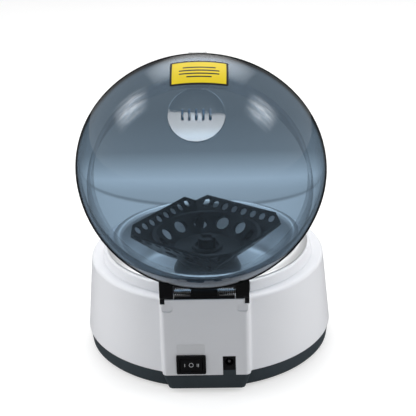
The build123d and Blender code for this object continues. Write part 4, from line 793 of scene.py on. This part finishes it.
def thin_clear(name, colour, face_on, edge_on):
    """A clear moulding too thin to tint what is behind it: faint face on, with painted dark outlines where it
    is seen edge-on.
    """
    material, tree, shader = new_material(name)
    cloud = noise(tree, tree.nodes.new("ShaderNodeTexCoord").outputs["Object"], 60.0, 4.0, 0.6)
    tree.links.new(spread(tree, cloud, 0.3, 0.8, 0.04, 0.12), shader.inputs["Roughness"])
    deep_colour = tuple(0.8 * part for part in colour)
    tree.links.new(colour_mix(tree, cloud, colour, deep_colour), shader.inputs["Base Color"])
    slant = tree.nodes.new("ShaderNodeLayerWeight")
    slant.inputs["Blend"].default_value = 0.5
    # painted shade: the dark colour grows opaque toward edges seen edge-on
    opaque = spread(tree, slant.outputs["Facing"], 0.45, 0.97, face_on, edge_on)
    tree.links.new(opaque, shader.inputs["Alpha"])
    return material


skirt.data.materials.append(thin_clear("skirt_clear", (0.10, 0.13, 0.16), 0.05, 0.45))
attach(skirt, "lid")
dress("lid_striker", thin_clear("striker_clear", (0.16, 0.19, 0.22), 0.10, 0.75))

# finger ribs on the round spot, moulded with it
rib_width = 1.8 * mm
rib_length = 8.0 * mm
rib_levels = ((-0.1 * mm, 1.0), (0.25 * mm, 0.96), (0.4 * mm, 0.7))
rib_pitch = 4.4 * mm
rib_count = 5
rib_steps = 32
spot_across = Vector((1, 0, 0))
spot_along = press_out.cross(spot_across)
for k in range(rib_count):
    middle = dome_middle + press_out * press_height + spot_across * rib_pitch * (k - (rib_count - 1) / 2)
    loops = []
    for lift, shrink in rib_levels:
        loop = []
        for step in range(rib_steps):
            turn = 2 * pi * step / rib_steps
            side = rib_width / 2 * shrink
            end = (rib_length - rib_width) / 2
            along = side * sin(turn) + (end if sin(turn) > 0 else -end)
            loop.append(middle + spot_across * side * cos(turn) + spot_along * along + press_out * lift)
        loops.append(loop)
    bottom, top = [sum(loop, Vector()) / rib_steps for loop in (loops[0], loops[-1])]
    rib = skin("press_rib_%d" % (k + 1), loops, first=bottom, last=top)
    rib.data.transform(shut_to_open)
    rib.data.materials.append(smoke)
    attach(rib, "lid")

# Lid label: a yellow printed film stuck on the dome near its front edge, with a black frame and a few
# plain ruled lines, pressed down to the curve all round.
label_width = 38.6 * mm
label_length = 22.0 * mm
label_corner = 1.2 * mm
label_film = 0.25 * mm
label_edge_lift = 0.12 * mm
label_shift = -1.7 * mm
label_frame = 1.5 * mm
frame_blur = 0.1 * mm
ruled_lines = ((4.2 * mm, 8.0 * mm), (1.4 * mm, 13.0 * mm), (-1.4 * mm, 13.0 * mm), (-4.2 * mm, 10.5 * mm))
ruled_half_width = 0.56 * mm
ruled_blur = 0.06 * mm
ruled_end_blur = 0.2 * mm
ink_black = (0.012, 0.012, 0.012)
label_columns = 48
label_rows = 30
label_angle = radians(66.2)
label_out = Vector((0, -sin(label_angle), cos(label_angle)))
label_up = label_out.cross(Vector((1, 0, 0)))
points, faces, marks = [], [], []
for row in range(label_rows + 1):
    for column in range(label_columns + 1):
        across = label_width * (column / label_columns - 0.5)
        along = label_length * (row / label_rows - 0.5)
        over_x = max(abs(across) - (label_width / 2 - label_corner), 0)
        over_y = max(abs(along) - (label_length / 2 - label_corner), 0)
        beyond = sqrt(over_x ** 2 + over_y ** 2)
        if over_x and over_y and beyond > label_corner:
            across -= (over_x - over_x * label_corner / beyond) * (1 if across > 0 else -1)
            along -= (over_y - over_y * label_corner / beyond) * (1 if along > 0 else -1)
        edge = row in (0, label_rows) or column in (0, label_columns)
        place = Vector((1, 0, 0)) * (across + label_shift) + label_up * along
        way = (label_out + place / outer_radius).normalized()
        points.append(dome_middle + way * (outer_radius + (label_edge_lift if edge else label_film)))
        marks.append((across / label_width + 0.5, along / label_length + 0.5))
wide = label_columns + 1
for row in range(label_rows):
    for column in range(label_columns):
        corner = row * wide + column
        faces.append((corner, corner + 1, corner + wide + 1, corner + wide))
label_mesh = bpy.data.meshes.new("lid_label_film")
label_mesh.from_pydata(points, [], faces)
print_map = label_mesh.uv_layers.new(name="print")
for loop in label_mesh.loops:
    print_map.data[loop.index].uv = marks[loop.vertex_index]
label_mesh.shade_smooth()
label = bpy.data.objects.new("lid_label_film", label_mesh)
scene.collection.objects.link(label)
label_mesh.transform(shut_to_open)
label_yellow = moulded(
    "label_yellow", (0.80, 0.62, 0.01), (0.74, 0.56, 0.01),
    roughness=(0.3, 0.4), grain=(900.0, 0.01 * mm), dust=0.03, edge=0.02 * mm, shine=0.2)
tree = label_yellow.node_tree


def printed_distance(tree, share, length, middle):
    """Distance from a line at a place along a side of the label, from the share of the side gone by."""
    along = calculate(tree, "MULTIPLY", calculate(tree, "SUBTRACT", share, 0.5), length)
    return calculate(tree, "ABSOLUTE", calculate(tree, "SUBTRACT", along, middle))


spot = split_up(tree, tree.nodes.new("ShaderNodeUVMap").outputs["UV"])
across = printed_distance(tree, spot["X"], label_width, 0.0)
upright = printed_distance(tree, spot["Y"], label_length, 0.0)
ink = 0.0
for far, length in ((across, label_width), (upright, label_length)):
    frame_start = length / 2 - label_frame
    bar = spread(tree, far, frame_start - frame_blur, frame_start + frame_blur, 0.0, 1.0)
    ink = calculate(tree, "MAXIMUM", ink, bar)
for height, reach in ruled_lines:
    far = printed_distance(tree, spot["Y"], label_length, height)
    thick = spread(tree, far, ruled_half_width - ruled_blur, ruled_half_width + ruled_blur, 1.0, 0.0)
    long = spread(tree, across, reach, reach + ruled_end_blur, 1.0, 0.0)
    ink = calculate(tree, "MAXIMUM", ink, calculate(tree, "MULTIPLY", thick, long))
shader = tree.nodes["Principled BSDF"]
film = shader.inputs["Base Color"].links[0].from_socket
tree.links.new(colour_mix(tree, ink, film, ink_black), shader.inputs["Base Color"])
label_mesh.materials.append(label_yellow)
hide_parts("lid_label")
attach(label, "lid")

# Latch: a black push button on a slider in a guide under the ledge, pushed back by a spring. Its
# tongue holds the lid's tab, and a sensor beside it feels the lid's magnet.
for node in ("latch_slider", "latch_body", "lid_sensor"):
    dress(node, hinge_black)
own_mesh(cad["latch_spring"])
